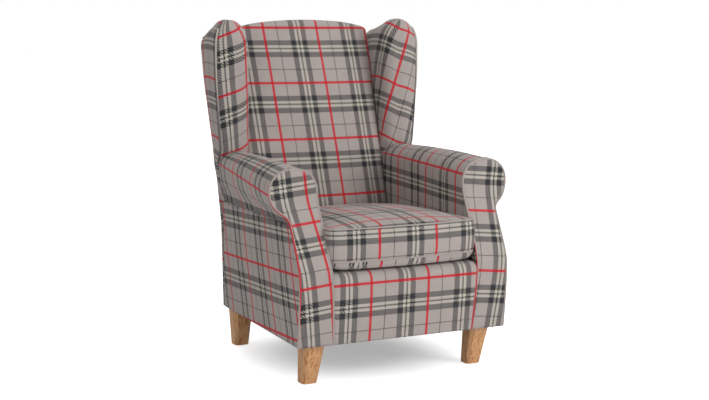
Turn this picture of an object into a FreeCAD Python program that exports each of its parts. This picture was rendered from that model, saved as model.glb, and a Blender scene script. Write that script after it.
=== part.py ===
import FreeCAD, Part
import math
import os
import Sketcher
from FreeCAD import Vector

# A fireside chair with wings, rolled arms and a loose seat cushion. Millimetres, +Z up, the
# front of the chair towards -Y. The origin is on the floor under the middle of the chair.
# "Left" is the -X side and "right" is the +X side, as seen by somebody who faces the chair.

SIZES = (
    ("leg_height", 128, "floor to the hem of the upholstery"),
    ("hem_depth", 6, "hem that hangs below the frame"),
    ("glide_height", 3, "felt glide under a foot"),
    ("glide_radius", 13, "felt glide"),
    ("leg_top_width", 67, "square of a leg at the frame"),
    ("leg_foot_width", 46, "square of a leg at the floor"),
    ("leg_corner", 11, "flat on the corners of a leg at the frame"),
    ("foot_corner", 7, "flat on the corners of a leg at the floor"),
    ("leg_side", 276, "middle plane to the centre of a leg at the frame"),
    ("front_leg_place", 321, "centre of a front leg at the frame, towards the front"),
    ("front_leg_rake", 34, "how far a front foot stands behind its top"),
    ("rear_leg_place", 238, "centre of a rear leg at the frame, towards the back"),
    ("rear_leg_rake", 10, "how far a rear foot stands behind its top"),
    ("bolt_radius", 4, "hanger bolt of a leg"),
    ("bolt_in_leg", 40, "depth of the hanger bolt in a leg"),
    ("nut_wall", 1, "barrel of a tee nut round its bolt"),
    ("nut_flange_radius", 10, "flange of a tee nut"),
    ("nut_flange_height", 2, "flange of a tee nut"),
    ("seat_half", 243, "middle plane to the inside face of an arm"),
    ("base_half_front", 341, "middle plane to the outside of the chair at the front"),
    ("base_half_rear", 321, "middle plane to the outside of the chair at the arm's rear end"),
    ("arm_height", 643, "floor to the top of an arm"),
    ("scroll_radius", 75, "arm roll at the front"),
    ("roll_radius_rear", 62, "arm roll where it meets the wing"),
    ("neck_radius", 29, "hollow under the arm roll"),
    ("arm_rear", 250, "rear end of an arm, behind the middle"),
    ("facing_inner_low", 230, "inner edge of an arm facing at the hem"),
    ("facing_flare_height", 400, "height where the facing's inner edge meets the arm's face"),
    ("base_front", 375, "front of the chair at the hem"),
    ("knee_front", 391, "front of the chair at the knee"),
    ("knee_height", 300, "lower end of the knee"),
    ("knee_swell", 1, "how far the knee's middle stands before its lower end"),
    ("slope_front", 378, "front of the chair where the knee turns back"),
    ("slope_height", 372, "height where the knee turns back"),
    ("throat_front", 312, "front of an arm where the slope ends"),
    ("throat_drop", 63, "from the scroll's centre down to where the slope ends"),
    ("scroll_front", 292, "front of the arm scroll"),
    ("rear_low", 280, "back of the chair below the lean"),
    ("lean_height", 400, "height where the back starts to lean"),
    ("rear_lean", 0.19, "lean of the outside back, per unit of height"),
    ("panel_top", 1000, "top of the outside back panel"),
    ("front_lean", 0.30, "lean of the inside back, per unit of height"),
    ("back_face", 177, "inside back in the middle, behind the cushion"),
    ("back_face_height", 451, "height where the inside back starts to lean"),
    ("back_crown", 26, "how far the middle of the inside back stands proud"),
    ("back_top", 1048, "top of the back in the middle"),
    ("back_arch", 34, "rise of the back's top from its sides to the middle"),
    ("back_clearance", 0.6, "gap between the back and the wings and arms"),
    ("back_roll_set", 6, "how far the back's top roll stands before the outside back"),
    ("frame_play", 4, "play between the back's timber and the foam"),
    ("wing_top", 1045, "top of a wing"),
    ("wing_seam_half", 356, "middle plane to a wing's outer seam, where it is widest"),
    ("wing_front", 208, "foremost face of a wing, behind the middle"),
    ("wing_rear_half", 346, "middle plane to a wing's outer rear corner"),
    ("wing_wall", 24, "upholstery round the board of a wing"),
    ("wing_corner", 36, "rounding of a wing's inner front edge"),
    ("wing_swell", 5, "how far the middle of a wing's front stands proud"),
    ("wing_lip", 14, "how far a wing's outer seam stands behind its front"),
    ("cover", 2, "cloth with its lining"),
    ("gap", 0.4, "play between neighbouring layers"),
    ("arm_pad", 22, "foam round an arm, with its cover"),
    ("facing_pad", 10, "facing in front of an arm, with its cover"),
    ("rail_front", 360, "front face of the front seat rail"),
    ("rail_width", 25, "seat rails"),
    ("back_rail_width", 22, "back seat rail"),
    ("rail_top", 300, "top of the seat rails"),
    ("side_rail_half", 314, "middle plane to the outer face of a side rail"),
    ("back_rail_front", 250, "front face of the back seat rail"),
    ("block_length", 80, "corner block, both ways"),
    ("block_height", 50, "corner block"),
    ("post_inner", 232, "middle plane to the inner face of a back post"),
    ("post_width", 28, "back post"),
    ("post_depth", 45, "back post at its foot"),
    ("post_bend_drop", 90, "how far below the back's lean the posts start to lean"),
    ("post_top", 978, "top of the back posts"),
    ("post_lean_front", 0.24, "lean of a back post's front face"),
    ("post_lean_rear", 0.20, "lean of a back post's rear face"),
    ("top_rail_height", 58, "back top rail at its ends"),
    ("top_rail_rise", 16, "arch of the back top rail"),
    ("top_rail_width", 15, "back top rail"),
    ("lower_rail_height", 50, "back lower rail"),
    ("lower_rail_place", 352, "underside of the back lower rail"),
    ("arm_post_inner", 270, "middle plane to the inner face of an arm post"),
    ("arm_post_depth", 62, "arm post, front to back"),
    ("arm_rail_width", 50, "arm rail"),
    ("arm_rail_height", 25, "arm rail"),
    ("tack_rail_height", 40, "tack rail at the foot of the inside arm"),
    ("tack_rail_width", 16, "tack rail"),
    ("tack_rail_gap", 8, "from the seat rails up to a tack rail"),
    ("post_foot_gap", 20, "from a corner block up to the foot of an arm post"),
    ("wing_board_width", 18, "wing board"),
    ("deck_top", 337, "top of the deck under the cushion"),
    ("deck_pad", 24, "foam of the deck"),
    ("spring_count", 5, "zigzag springs"),
    ("spring_span", 400, "width that the springs are spread over"),
    ("spring_wire", 3.8, "diameter of the spring wire"),
    ("spring_pitch", 26, "distance between the runs of a spring"),
    ("spring_run", 30, "straight part of a run"),
    ("clip_height", 8, "spring clip"),
    ("clip_length", 16, "spring clip"),
    ("clip_width", 12, "spring clip"),
    ("strap_count", 6, "straps of the back webbing"),
    ("strap_width", 50, "back webbing"),
    ("strap_thickness", 2, "back webbing"),
    ("strap_inset", 2, "from a strap's end to the outer face of its post"),
    ("strap_start", 40, "from the lower rail up to the first strap"),
    ("dust_cloth", 1.2, "cloth under the seat"),
    ("border_round", 26, "rounding of the border's top edge"),
    ("border_tuck", 20, "how far the border's cloth turns down behind its top edge"),
    ("cushion_half", 236, "middle plane to the side of the seat cushion"),
    ("cushion_front", 392, "front of the cushion in the middle"),
    ("cushion_bow", 30, "how far the middle of the front stands before its corners"),
    ("cushion_rear", 166, "back of the cushion, behind the middle"),
    ("cushion_corner", 40, "radius of the cushion's front corners"),
    ("cushion_low_seam", 368, "lower seam of the cushion"),
    ("cushion_high_seam", 464, "upper seam of the cushion"),
    ("cushion_crown", 28, "rise of the cushion's top over its seam"),
    ("cushion_belly", 30, "fall of the cushion's underside below its seam"),
    ("piping_radius", 2.5, "piping cord"),
    ("zip_half", 190, "middle plane to the end of the zip"),
    ("zip_tape_height", 26, "tape of the zip"),
    ("zip_tape_thickness", 1.2, "tape of the zip"),
    ("zip_stop", 4, "stop at the end of the zip"),
    ("slider_length", 10, "slider of the zip"),
    ("slider_height", 9, "slider of the zip"),
    ("slider_thickness", 3, "slider of the zip"),
    ("pull_length", 22, "pull tab of the zip"),
    ("pull_height", 6, "pull tab of the zip"),
    ("pull_thickness", 2, "pull tab of the zip"),
)

SHEET_NAME = "Sizes"
LEFT = -1
RIGHT = 1
SIDES = {"left": LEFT, "right": RIGHT}

# How a wing is drawn in at a share of its height: its inner face, its front, its outer seam and
# its outer rear corner.
WING_SECTIONS = (
    (0.0, 0, 16, 24, 15),
    (0.30, 0, 6, 10, 8),
    (0.62, 0, 0, 0, 1),
    (0.84, 3, 6, 2, 1),
    (0.94, 12, 20, 12, 9),
    (1.0, 32, 46, 32, 26),
)

# How full the cushion is at a share of its depth.
CUSHION_SECTIONS = ((-0.02, 0.05), (0.22, 0.78), (0.5, 1.0), (0.78, 0.8), (1.02, 0.05))

# Shares of the inside back's half width where its side view is drawn.
BACK_STATIONS = (-1.0, -0.66, -0.33, 0.0, 0.33, 0.66, 1.0)

# Shares of a curve: where the knee's middle lies between its ends, how far the throat's hollow
# has turned into the scroll, and how high the back's top roll stands for its thickness.
KNEE_MIDDLE = 0.45
HOLLOW_TURN = 0.65
ROLL_RISE = 0.45

# How far a piping cord's middle stands from the face of its seam, as a share of its radius.
CORD_STAND = 0.72

# How far a tool runs past what it cuts.
BEYOND = 30.0

doc = FreeCAD.newDocument("FiresideChair")


class Size:
    """A length that knows the formula which ties it to the sheet."""

    def __init__(self, value, formula):
        self.value = float(value)
        self.formula = formula

    def joined(self, other, value, sign):
        return Size(value, f"({self.formula} {sign} {as_size(other).formula})")

    def __add__(self, other):
        return self.joined(other, self.value + as_size(other).value, "+")

    def __sub__(self, other):
        return self.joined(other, self.value - as_size(other).value, "-")

    def __mul__(self, other):
        return self.joined(other, self.value * as_size(other).value, "*")

    def __truediv__(self, other):
        return self.joined(other, self.value / as_size(other).value, "/")

    def __neg__(self):
        return Size(-self.value, f"(-1 * {self.formula})")

    def __float__(self):
        return self.value


def as_size(number):
    """Return a number as a Size, and a Size as it is."""
    return number if isinstance(number, Size) else Size(number, repr(float(number)))


def make_sheet():
    """Write the driving sizes into the sheet and return them by name."""
    sheet = doc.addObject("Spreadsheet::Sheet", SHEET_NAME)
    named = {}
    for row, (alias, value, note) in enumerate(SIZES, start=1):
        sheet.set(f"A{row}", alias)
        sheet.set(f"B{row}", str(value))
        sheet.setAlias(f"B{row}", alias)
        sheet.set(f"C{row}", note)
    doc.recompute()
    for size in SIZES:
        named[size[0]] = Size(sheet.get(size[0]), f"{SHEET_NAME}.{size[0]}")
    return named


S = make_sheet()

# Places that several pieces share, worked out from the driving sizes.
frame_low = S["leg_height"] + S["hem_depth"]
side_rail_inner = S["side_rail_half"] - S["rail_width"]
front_rail_rear = -S["rail_front"] + S["rail_width"]
arm_post_outer = S["side_rail_half"]
mean_roll = (S["scroll_radius"] + S["roll_radius_rear"]) / 2
arm_rail_low = S["arm_height"] - mean_roll - S["arm_rail_height"] / 2
post_outer = S["post_inner"] + S["post_width"]
post_bend = S["lean_height"] - S["post_bend_drop"]
throat_height = S["arm_height"] - S["scroll_radius"] - S["throat_drop"]
wing_low = S["arm_height"] + S["gap"]
tack_rail_low = S["rail_top"] + S["tack_rail_gap"]
spring_level = S["rail_top"] + S["clip_height"] / 2

sub_parts = []


def keep(obj, label):
    """Give an object its label and put it on the list of sub-parts."""
    obj.Label = label
    sub_parts.append(obj)
    return obj


def across(side, low, high):
    """Return a range along X, mirrored for the left side."""
    return (low, high) if side == RIGHT else (-high, -low)


def board(name, x, y, z):
    """Make a plain box between two places along each axis."""
    box = doc.addObject("Part::Box", name)
    for prop, (low, high) in (("Length", x), ("Width", y), ("Height", z)):
        box.setExpression(prop, (as_size(high) - low).formula)
    for axis, (low, high) in zip("xyz", (x, y, z)):
        box.setExpression(f"Placement.Base.{axis}", as_size(low).formula)
    return box


def rod(name, radius, length, x, y, z):
    """Make an upright cylinder that stands on a point."""
    cylinder = doc.addObject("Part::Cylinder", name)
    cylinder.setExpression("Radius", as_size(radius).formula)
    cylinder.setExpression("Height", as_size(length).formula)
    for axis, place in zip("xyz", (x, y, z)):
        cylinder.setExpression(f"Placement.Base.{axis}", as_size(place).formula)
    return cylinder


def cut(name, base, tool):
    """Cut one object from another."""
    result = doc.addObject("Part::Cut", name)
    result.Base = base
    result.Tool = tool
    return result


def group(name, members):
    """Gather identical separate pieces in one compound."""
    compound = doc.addObject("Part::Compound", name)
    compound.Links = members
    return compound


def new_body(name):
    """Make an empty body."""
    return doc.addObject("PartDesign::Body", name)


def origin_plane(body, role):
    """Return one of a body's own origin planes."""
    return next(f for f in body.Origin.OriginFeatures if f.Role == role)


def sketch_outline(body, name, role, level, corners, bulge=None):
    """Draw a closed outline whose corners are bound to the sheet.

    corners are (Size, Size) pairs in the sketch's own axes. bulge names the one side, by the
    number of its first corner, that is an arc, and the rise of that arc.
    """
    sketch = body.newObject("Sketcher::SketchObject", name)
    sketch.AttachmentSupport = [(origin_plane(body, role), "")]
    sketch.MapMode = "FlatFace"
    sketch.setExpression("AttachmentOffset.Base.z", as_size(level).formula)
    points = [Vector(float(as_size(u)), float(as_size(v)), 0) for u, v in corners]
    count = len(points)
    for i, start in enumerate(points):
        end = points[(i + 1) % count]
        if bulge and bulge[0] == i:
            middle = (start + end) / 2 + Vector(0, float(as_size(bulge[1])), 0)
            sketch.addGeometry(Part.Arc(start, middle, end))
        else:
            sketch.addGeometry(Part.LineSegment(start, end))
    arc = bulge[0] if bulge else None
    ends = {i: (1, 2) for i in range(count)}
    if bulge and sketch.Geometry[arc].StartPoint.distanceToPoint(points[arc]) > 1e-6:
        ends[arc] = (2, 1)
    for i in range(count):
        following = (i + 1) % count
        join = (i, ends[i][1], following, ends[following][0])
        sketch.addConstraint(Sketcher.Constraint("Coincident", *join))
    for i, (u, v) in enumerate(corners):
        for kind, place in (("DistanceX", u), ("DistanceY", v)):
            size = as_size(place)
            bind(sketch, size, kind, -1, 1, i, ends[i][0])
    if bulge:
        half = (as_size(corners[(arc + 1) % count][0]) - corners[arc][0]) / 2
        rise = as_size(bulge[1])
        radius = (half * half + rise * rise) / (rise * 2)
        bind(sketch, radius, "Radius", arc)
    return sketch


def bind(sketch, size, kind, *geometry):
    """Add a dimension to a sketch and tie it to the sheet."""
    spot = sketch.addConstraint(Sketcher.Constraint(kind, *geometry, float(size)))
    sketch.setExpression(f"Constraints[{spot}]", size.formula)


def pad(body, name, sketch, length):
    """Pad a sketch along its plane's normal."""
    feature = body.newObject("PartDesign::Pad", name)
    feature.Profile = sketch
    feature.setExpression("Length", as_size(length).formula)
    sketch.Visibility = False
    return feature


def loft_body(body, name, sketches):
    """Loft from the first sketch of a body through the others."""
    feature = body.newObject("PartDesign::AdditiveLoft", name)
    feature.Profile = sketches[0]
    feature.Sections = list(sketches[1:])
    feature.Ruled = True
    return feature


def path_edges(start, steps):
    """Return the edges of a path of points, and of (middle, end) pairs for arcs."""
    edges = []
    here = start
    for step in steps:
        if isinstance(step, tuple):
            middle, there = step
            edges.append(Part.Arc(here, middle, there).toShape())
        else:
            there = step
            edges.append(Part.LineSegment(here, there).toShape())
        here = there
    return edges, here


def closed_wire(start, *steps):
    """Return a closed wire, with a straight last side where the steps leave one."""
    edges, last = path_edges(start, steps)
    if last.distanceToPoint(start) > 1e-7:
        edges.append(Part.LineSegment(last, start).toShape())
    return Part.Wire(edges)


def prism(wire, along):
    """Return the solid that a flat wire sweeps along a vector."""
    return Part.Face(wire).extrude(along)


def loft(wires, ruled):
    """Return the solid lofted through closed wires."""
    return Part.makeLoft(wires, True, ruled)


def soft(label, shape):
    """Keep a shape that is worked out from the sizes as a sub-part."""
    feature = doc.addObject("Part::Feature", label)
    solids = shape.Solids
    feature.Shape = solids[0] if len(solids) == 1 else Part.makeCompound(solids)
    return keep(feature, label)


def mirrored(shape, side):
    """Return a right-hand shape, or its mirror image for the left side."""
    if side == RIGHT:
        return shape
    return shape.mirror(Vector(0, 0, 0), Vector(1, 0, 0))


def number(alias):
    """Return a driving size as a plain number."""
    return float(S[alias])


# Surfaces that several pieces follow.

def rear_face(height):
    """Return where the outside back lies at a height."""
    return number("rear_low") + number("rear_lean") * max(0.0, height - number("lean_height"))


def post_face(height):
    """Return where the back posts' front faces lie at a height."""
    foot = number("back_rail_front") - number("post_depth")
    return foot + number("post_lean_front") * max(0.0, height - float(post_bend))


def inside_back(height):
    """Return where the middle of the inside back lies at a height."""
    rise = max(0.0, height - number("back_face_height"))
    return number("back_face") + number("front_lean") * rise


def front_path(inset, top):
    """Return the start and steps of the chair's front, seen from the side."""
    def at(front, height):
        return Vector(0, inset - front, height)
    knee = at(number("knee_front"), number("knee_height"))
    slope = at(number("slope_front"), number("slope_height"))
    knee_rise = number("slope_height") - number("knee_height")
    knee_middle = at(number("knee_front") + number("knee_swell"),
                     number("knee_height") + KNEE_MIDDLE * knee_rise)
    throat = at(number("throat_front"), float(throat_height))
    scroll_centre = number("arm_height") - number("scroll_radius")
    scroll = at(number("scroll_front"), scroll_centre)
    hollow_back = number("throat_front") - number("scroll_front")
    hollow = at(number("throat_front") - HOLLOW_TURN * hollow_back,
                (float(throat_height) + scroll_centre) / 2)
    steps = [knee, (knee_middle, slope), throat, (hollow, scroll),
             at(number("scroll_front"), top)]
    return at(number("base_front"), number("leg_height") - number("gap")), steps


def behind_front(inset):
    """Return everything behind the chair's front face, as one wide solid."""
    top = number("arm_height") + BEYOND
    start, steps = front_path(inset, top)
    rear = number("wing_rear_half") * 2
    steps = steps + [Vector(0, rear, top), Vector(0, rear, start.z)]
    half = number("base_half_front") + number("scroll_radius") * 2
    return prism(closed_wire(start, *steps), Vector(2 * half, 0, 0)).translated(
        Vector(-half, 0, 0))


def roll_angle(radius, half):
    """Return the angle below level at which the arm roll turns into its neck."""
    centre = number("seat_half") + radius
    reach = half - centre + number("neck_radius")
    return math.acos(reach / (radius + number("neck_radius")))


def roll_points(radius, half, inset, place):
    """Return the named points of an arm roll's section at an inset from its face."""
    centre_x = number("seat_half") + radius
    centre_z = number("arm_height") - radius
    angle = roll_angle(radius, half)
    inner = radius - inset

    def on_roll(turn):
        return Vector(centre_x + inner * math.cos(turn), place,
                      centre_z + inner * math.sin(turn))

    neck = number("neck_radius") + inset
    neck_x = half + number("neck_radius")
    neck_z = centre_z - (radius + number("neck_radius")) * math.sin(angle)

    def on_neck(turn):
        return Vector(neck_x - neck * math.cos(turn), place, neck_z + neck * math.sin(turn))

    return {
        "foot": on_roll(math.pi),
        "rise": on_roll(math.pi * 5 / 6),
        "shoulder": on_roll(math.pi * 2 / 3),
        "crest": on_roll(math.pi / 3),
        "outer": on_roll(0),
        "turn": on_roll(-angle),
        "hollow": on_neck(angle / 2),
        "neck": on_neck(0),
    }


def roll_side(radius, half, inset, place):
    """Return the point midway between the roll's outermost point and its turn."""
    angle = roll_angle(radius, half) / 2
    reach = radius - inset
    centre = Vector(number("seat_half") + radius, place, number("arm_height") - radius)
    return centre + Vector(reach * math.cos(angle), 0, -reach * math.sin(angle))


def cane_wire(radius, half, place, low, outset, inset):
    """Return the cane-shaped section of a layer that wraps an arm."""
    face = roll_points(radius, half, outset, place)
    back = roll_points(radius, half, inset, place)
    return closed_wire(
        Vector(face["foot"].x, place, low),
        face["foot"],
        (face["rise"], face["shoulder"]),
        (face["crest"], face["outer"]),
        (roll_side(radius, half, outset, place), face["turn"]),
        back["turn"],
        (roll_side(radius, half, inset, place), back["outer"]),
        (back["crest"], back["shoulder"]),
        (back["rise"], back["foot"]),
        Vector(back["foot"].x, place, low),
    )


def arm_wire(radius, half, place, low, inset):
    """Return the whole section of an arm, down to its inside foot, drawn in by an inset."""
    face = roll_points(radius, half, inset, place)
    neck_x = half - number("cover")
    steps = [
        face["foot"],
        (face["rise"], face["shoulder"]),
        (face["crest"], face["outer"]),
        (roll_side(radius, half, inset, place), face["turn"]),
        (face["hollow"], face["neck"]),
    ]
    if face["neck"].x > neck_x + number("cover") / 2:
        steps.append(Vector(neck_x, place, face["neck"].z))
    return closed_wire(Vector(face["foot"].x, place, low), *steps, Vector(neck_x, place, low))


def arm_loft(section, *arguments):
    """Loft an arm's section from the front to the wing, within the facing and the post."""
    front = -number("knee_front") - BEYOND
    wires = [
        section(number("scroll_radius"), number("base_half_front"), front, *arguments),
        section(number("roll_radius_rear"), number("base_half_rear"), number("arm_rear"),
                *arguments),
    ]
    behind = behind_front(number("facing_pad") + number("gap"))
    room = frame_room(number("seat_half") + number("arm_pad") + number("gap"))
    return loft(wires, True).common(behind).cut(room)


def arm_end_room(depth, low):
    """Return the room behind the right arm, from a depth before its rear end."""
    return Part.makeBox(
        number("base_half_front"), 2 * BEYOND, number("arm_height") - low,
        Vector(number("seat_half") + number("cover"), number("arm_rear") - depth, low))


def arm_skin(low):
    """Return the cloth of the right arm, closed at the rear end of its roll."""
    outer = arm_loft(arm_wire, low, 0.0)
    inner = arm_loft(arm_wire, low - BEYOND, number("cover"))
    inner = inner.cut(Part.makeBox(
        2 * number("base_half_front"), 2 * BEYOND, 2 * number("arm_height"),
        Vector(0, number("arm_rear") - number("cover"), 0)))
    below = arm_end_room(number("cover") * 2, 0).common(Part.makeBox(
        2 * number("base_half_front"), 2 * number("rear_low"), rear_neck_height()))
    return outer.cut(inner).cut(below)


def facing_outline(inset):
    """Return the outline of an arm facing, seen from the front, as a deep solid."""
    front = -number("knee_front") - BEYOND
    points = roll_points(number("scroll_radius"), number("base_half_front"), inset, front)
    side = roll_side(number("scroll_radius"), number("base_half_front"), inset, front)
    low = number("leg_height") + inset
    wire = closed_wire(
        Vector(number("facing_inner_low") + inset, front, low),
        Vector(number("seat_half") + inset, front, number("facing_flare_height")),
        points["foot"],
        (points["rise"], points["shoulder"]),
        (points["crest"], points["outer"]),
        (side, points["turn"]),
        (points["hollow"], points["neck"]),
        Vector(number("base_half_front") - inset, front, low),
    )
    return prism(wire, Vector(0, number("knee_front"), 0))


def front_layer(outset, inset, low, top):
    """Return a layer that follows the chair's front, as wide as the chair and more."""
    half = number("base_half_front") + number("scroll_radius") * 2
    slab = behind_front(outset).cut(behind_front(inset))
    box = Part.makeBox(2 * half, 4 * half, top - low, Vector(-half, -2 * half, low))
    return slab.common(box)


def before_rear():
    """Return everything in front of the outside back panel, as one wide solid."""
    step = number("cover") + number("gap")
    front = -number("knee_front") - BEYOND
    bend = number("lean_height")
    top = number("wing_top")
    reach = number("wing_rear_half") * 2
    profile = closed_wire(
        Vector(-reach, front, 0),
        Vector(-reach, rear_face(0) - step, 0),
        Vector(-reach, rear_face(bend) - step, bend),
        Vector(-reach, rear_face(top) - step, top),
        Vector(-reach, front, top),
    )
    return prism(profile, Vector(2 * reach, 0, 0))


def frame_room(reach):
    """Return the room for the back's timber, as far as a reach to each side, with its play."""
    play = number("frame_play")
    low = number("leg_height")
    bend = float(post_bend)
    top = number("post_top") + number("top_rail_rise") + 2 * BEYOND
    rear = number("rear_low") + number("post_top")
    profile = closed_wire(
        Vector(-reach, post_face(low) - play, low),
        Vector(-reach, post_face(bend) - play, bend),
        Vector(-reach, post_face(top) - play, top),
        Vector(-reach, rear, top),
        Vector(-reach, rear, low),
    )
    shoulder = number("post_top") + play
    crest = shoulder + number("top_rail_rise")
    arch = closed_wire(
        Vector(-reach, 0, low),
        Vector(-reach, 0, shoulder),
        (Vector(0, 0, crest), Vector(reach, 0, shoulder)),
        Vector(reach, 0, low),
    )
    return prism(profile, Vector(2 * reach, 0, 0)).common(prism(arch, Vector(0, rear, 0)))


def back_profile(share, inset):
    """Return the side view of the inside back at a share of its half width."""
    x = share * (number("seat_half") - number("back_clearance") - inset)
    crown = number("back_crown") * share * share + inset
    set_in = number("back_roll_set") + inset
    top = number("back_top") - number("back_arch") * share * share - inset
    low = number("deck_top") + 2 * number("gap")
    bend = number("back_face_height")
    near_top = top - number("back_arch") / 2
    rise = ROLL_RISE * (rear_face(near_top) - set_in - inside_back(near_top) - crown)
    shoulder = top - rise
    front = inside_back(shoulder) + crown
    rear = rear_face(shoulder) - set_in
    return closed_wire(
        Vector(x, inside_back(low) + crown, low),
        Vector(x, inside_back(bend) + crown, bend),
        Vector(x, front, shoulder),
        (Vector(x, (front + rear) / 2, top), Vector(x, rear, shoulder)),
        Vector(x, post_face(low) + BEYOND, low),
    )


def back_shape(inset):
    """Return the inside back with its top roll, drawn in by an inset."""
    whole = loft([back_profile(share, inset) for share in BACK_STATIONS], True)
    return whole.cut(frame_room(float(post_outer)))


def wing_section(row, inset):
    """Return a level section of the right wing for one row of WING_SECTIONS."""
    share, inner_in, front_in, seam_in, rear_in = row
    low = float(wing_low)
    height = low + share * (number("wing_top") - low - inset)
    root = number("seat_half") + number("gap") + inner_in + inset
    inner = root - number("wing_lip") / 4
    front = number("wing_front") + front_in + inset
    seam = number("wing_seam_half") - seam_in - inset
    rear_side = number("wing_rear_half") - rear_in - inset
    rear = min(rear_face(height), rear_face(number("panel_top"))) - number("cover")
    rear -= number("gap") + inset + (inner_in if share > 0.9 else 0.0)
    hinge = inside_back(height) + number("back_crown") + inset
    hinge = min(hinge, rear - BEYOND)
    corner = number("wing_corner")
    turn = corner * (1 - math.sqrt(0.5))
    lip = front + number("wing_lip")
    swell = Vector((seam + inner + corner) / 2, (front + lip) / 2 - number("wing_swell"), height)
    return closed_wire(
        Vector(root, hinge, height),
        Vector(root, rear, height),
        Vector(rear_side, rear, height),
        Vector(seam, lip, height),
        (swell, Vector(inner + corner, front, height)),
        (Vector(inner + turn, front + turn, height), Vector(inner, front + corner, height)),
    )


def wing_foot():
    """Return the part of the right wing that stands beside the arm's rear end."""
    low = rear_neck_height()
    top = number("arm_height")
    inner = float(post_outer) + number("frame_play") / 2
    front = number("arm_rear") + number("gap")
    wires = []
    for height in (low, top):
        share = (height - number("leg_height")) / (top - number("leg_height"))
        outer = number("base_half_rear") + share * (
            number("wing_rear_half") - WING_SECTIONS[0][4] - number("base_half_rear"))
        rear = rear_face(height) - number("cover") - number("gap")
        wires.append(closed_wire(
            Vector(inner, front, height),
            Vector(outer, front, height),
            Vector(outer, rear, height),
            Vector(inner, rear, height),
        ))
    return loft(wires, True)


def wing_shape(inset):
    """Return the right wing, drawn in by an inset."""
    room = frame_room(float(post_outer) + number("frame_play") / 2)
    return loft([wing_section(row, inset) for row in WING_SECTIONS], True).cut(room)


def cushion_outline(inset):
    """Return the cushion's outline from above as a tall solid."""
    half = number("cushion_half") - inset
    front = -number("cushion_front") + inset
    side_front = front + number("cushion_bow")
    corner = number("cushion_corner")
    turn = corner * (1 - math.sqrt(0.5))
    rear = number("cushion_rear") - inset
    low = number("deck_top") - BEYOND
    wire = closed_wire(
        Vector(-half, rear, low),
        Vector(-half, side_front + corner, low),
        (Vector(-half + turn, side_front + turn, low),
         Vector(-half + corner, side_front - number("cover"), low)),
        (Vector(0, front, low), Vector(half - corner, side_front - number("cover"), low)),
        (Vector(half - turn, side_front + turn, low), Vector(half, side_front + corner, low)),
        Vector(half, rear, low),
    )
    return prism(wire, Vector(0, 0, 3 * number("cushion_high_seam")))


def cushion_shape(inset):
    """Return the crowned cushion, drawn in by an inset."""
    front = -number("cushion_front")
    rear = number("cushion_rear")
    half = number("cushion_half") + number("gap")
    wires = []
    for share, fullness in CUSHION_SECTIONS:
        y = front + share * (rear - front)
        high = number("cushion_high_seam") - inset
        low = number("cushion_low_seam") + inset
        crown = number("cushion_crown") * fullness
        belly = number("cushion_belly") * fullness
        wires.append(closed_wire(
            Vector(-half, y, low),
            Vector(-half, y, high),
            (Vector(0, y, high + crown), Vector(half, y, high)),
            Vector(half, y, low),
            (Vector(0, y, low - belly), Vector(-half, y, low)),
        ))
    return loft(wires, False).common(cushion_outline(inset))


# Timber frame.

def make_seat_frame():
    """Make the four seat rails."""
    height = (frame_low, S["rail_top"])
    reach = S["side_rail_half"]
    front = (-S["rail_front"], front_rail_rear)
    keep(board("FrontRail", (-reach, reach), front, height), "front_seat_rail")
    back = (S["back_rail_front"], S["back_rail_front"] + S["back_rail_width"])
    keep(board("BackRail", (-reach, reach), back, height), "back_seat_rail")
    for word, side in SIDES.items():
        x = across(side, side_rail_inner, reach)
        rail = board(f"{word.title()}Rail", x, (front_rail_rear, S["back_rail_front"]), height)
        keep(rail, f"{word}_seat_rail")


def leg_places():
    """Return the place of each leg at the frame and the rake of its foot."""
    places = {}
    for word, side in SIDES.items():
        x = S["leg_side"] * side
        places[f"front_{word}"] = (x, -S["front_leg_place"], S["front_leg_rake"])
        places[f"rear_{word}"] = (x, S["rear_leg_place"], S["rear_leg_rake"])
    return places


def leg_tops():
    """Return the place of each leg at the frame."""
    return {where: place[:2] for where, place in leg_places().items()}


def make_corner_blocks():
    """Make the corner blocks that the legs are bolted to."""
    blocks = []
    for where, (x, y) in leg_tops().items():
        side = RIGHT if where.endswith("right") else LEFT
        span = across(side, side_rail_inner - S["block_length"], side_rail_inner)
        if where.startswith("front"):
            depth = (front_rail_rear, front_rail_rear + S["block_length"])
        else:
            depth = (S["back_rail_front"] - S["block_length"], S["back_rail_front"])
        block = board(f"Block_{where}", span, depth, (frame_low, frame_low + S["block_height"]))
        hole = rod(f"BlockHole_{where}", S["bolt_radius"] + S["nut_wall"],
                   S["block_height"] + S["cover"], x, y, frame_low - S["cover"] / 2)
        blocks.append(cut(f"DrilledBlock_{where}", block, hole))
    keep(group("CornerBlocks", blocks), "corner_blocks")


def make_back_posts():
    """Make the two leaning posts of the back."""
    low = frame_low + S["block_height"]
    foot_front = S["back_rail_front"] - S["post_depth"]
    rise = S["post_top"] - post_bend
    corners = (
        (foot_front, low),
        (S["back_rail_front"], low),
        (S["back_rail_front"], post_bend),
        (S["back_rail_front"] + rise * S["post_lean_rear"], S["post_top"]),
        (foot_front + rise * S["post_lean_front"], S["post_top"]),
        (foot_front, post_bend),
    )
    for word, side in SIDES.items():
        body = new_body(f"{word.title()}BackPost")
        level = across(side, S["post_inner"], post_outer)[0]
        sketch = sketch_outline(body, f"{word.title()}PostOutline", "YZ_Plane", level, corners)
        pad(body, f"{word.title()}PostPad", sketch, S["post_width"])
        keep(body, f"{word}_back_post")


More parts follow.
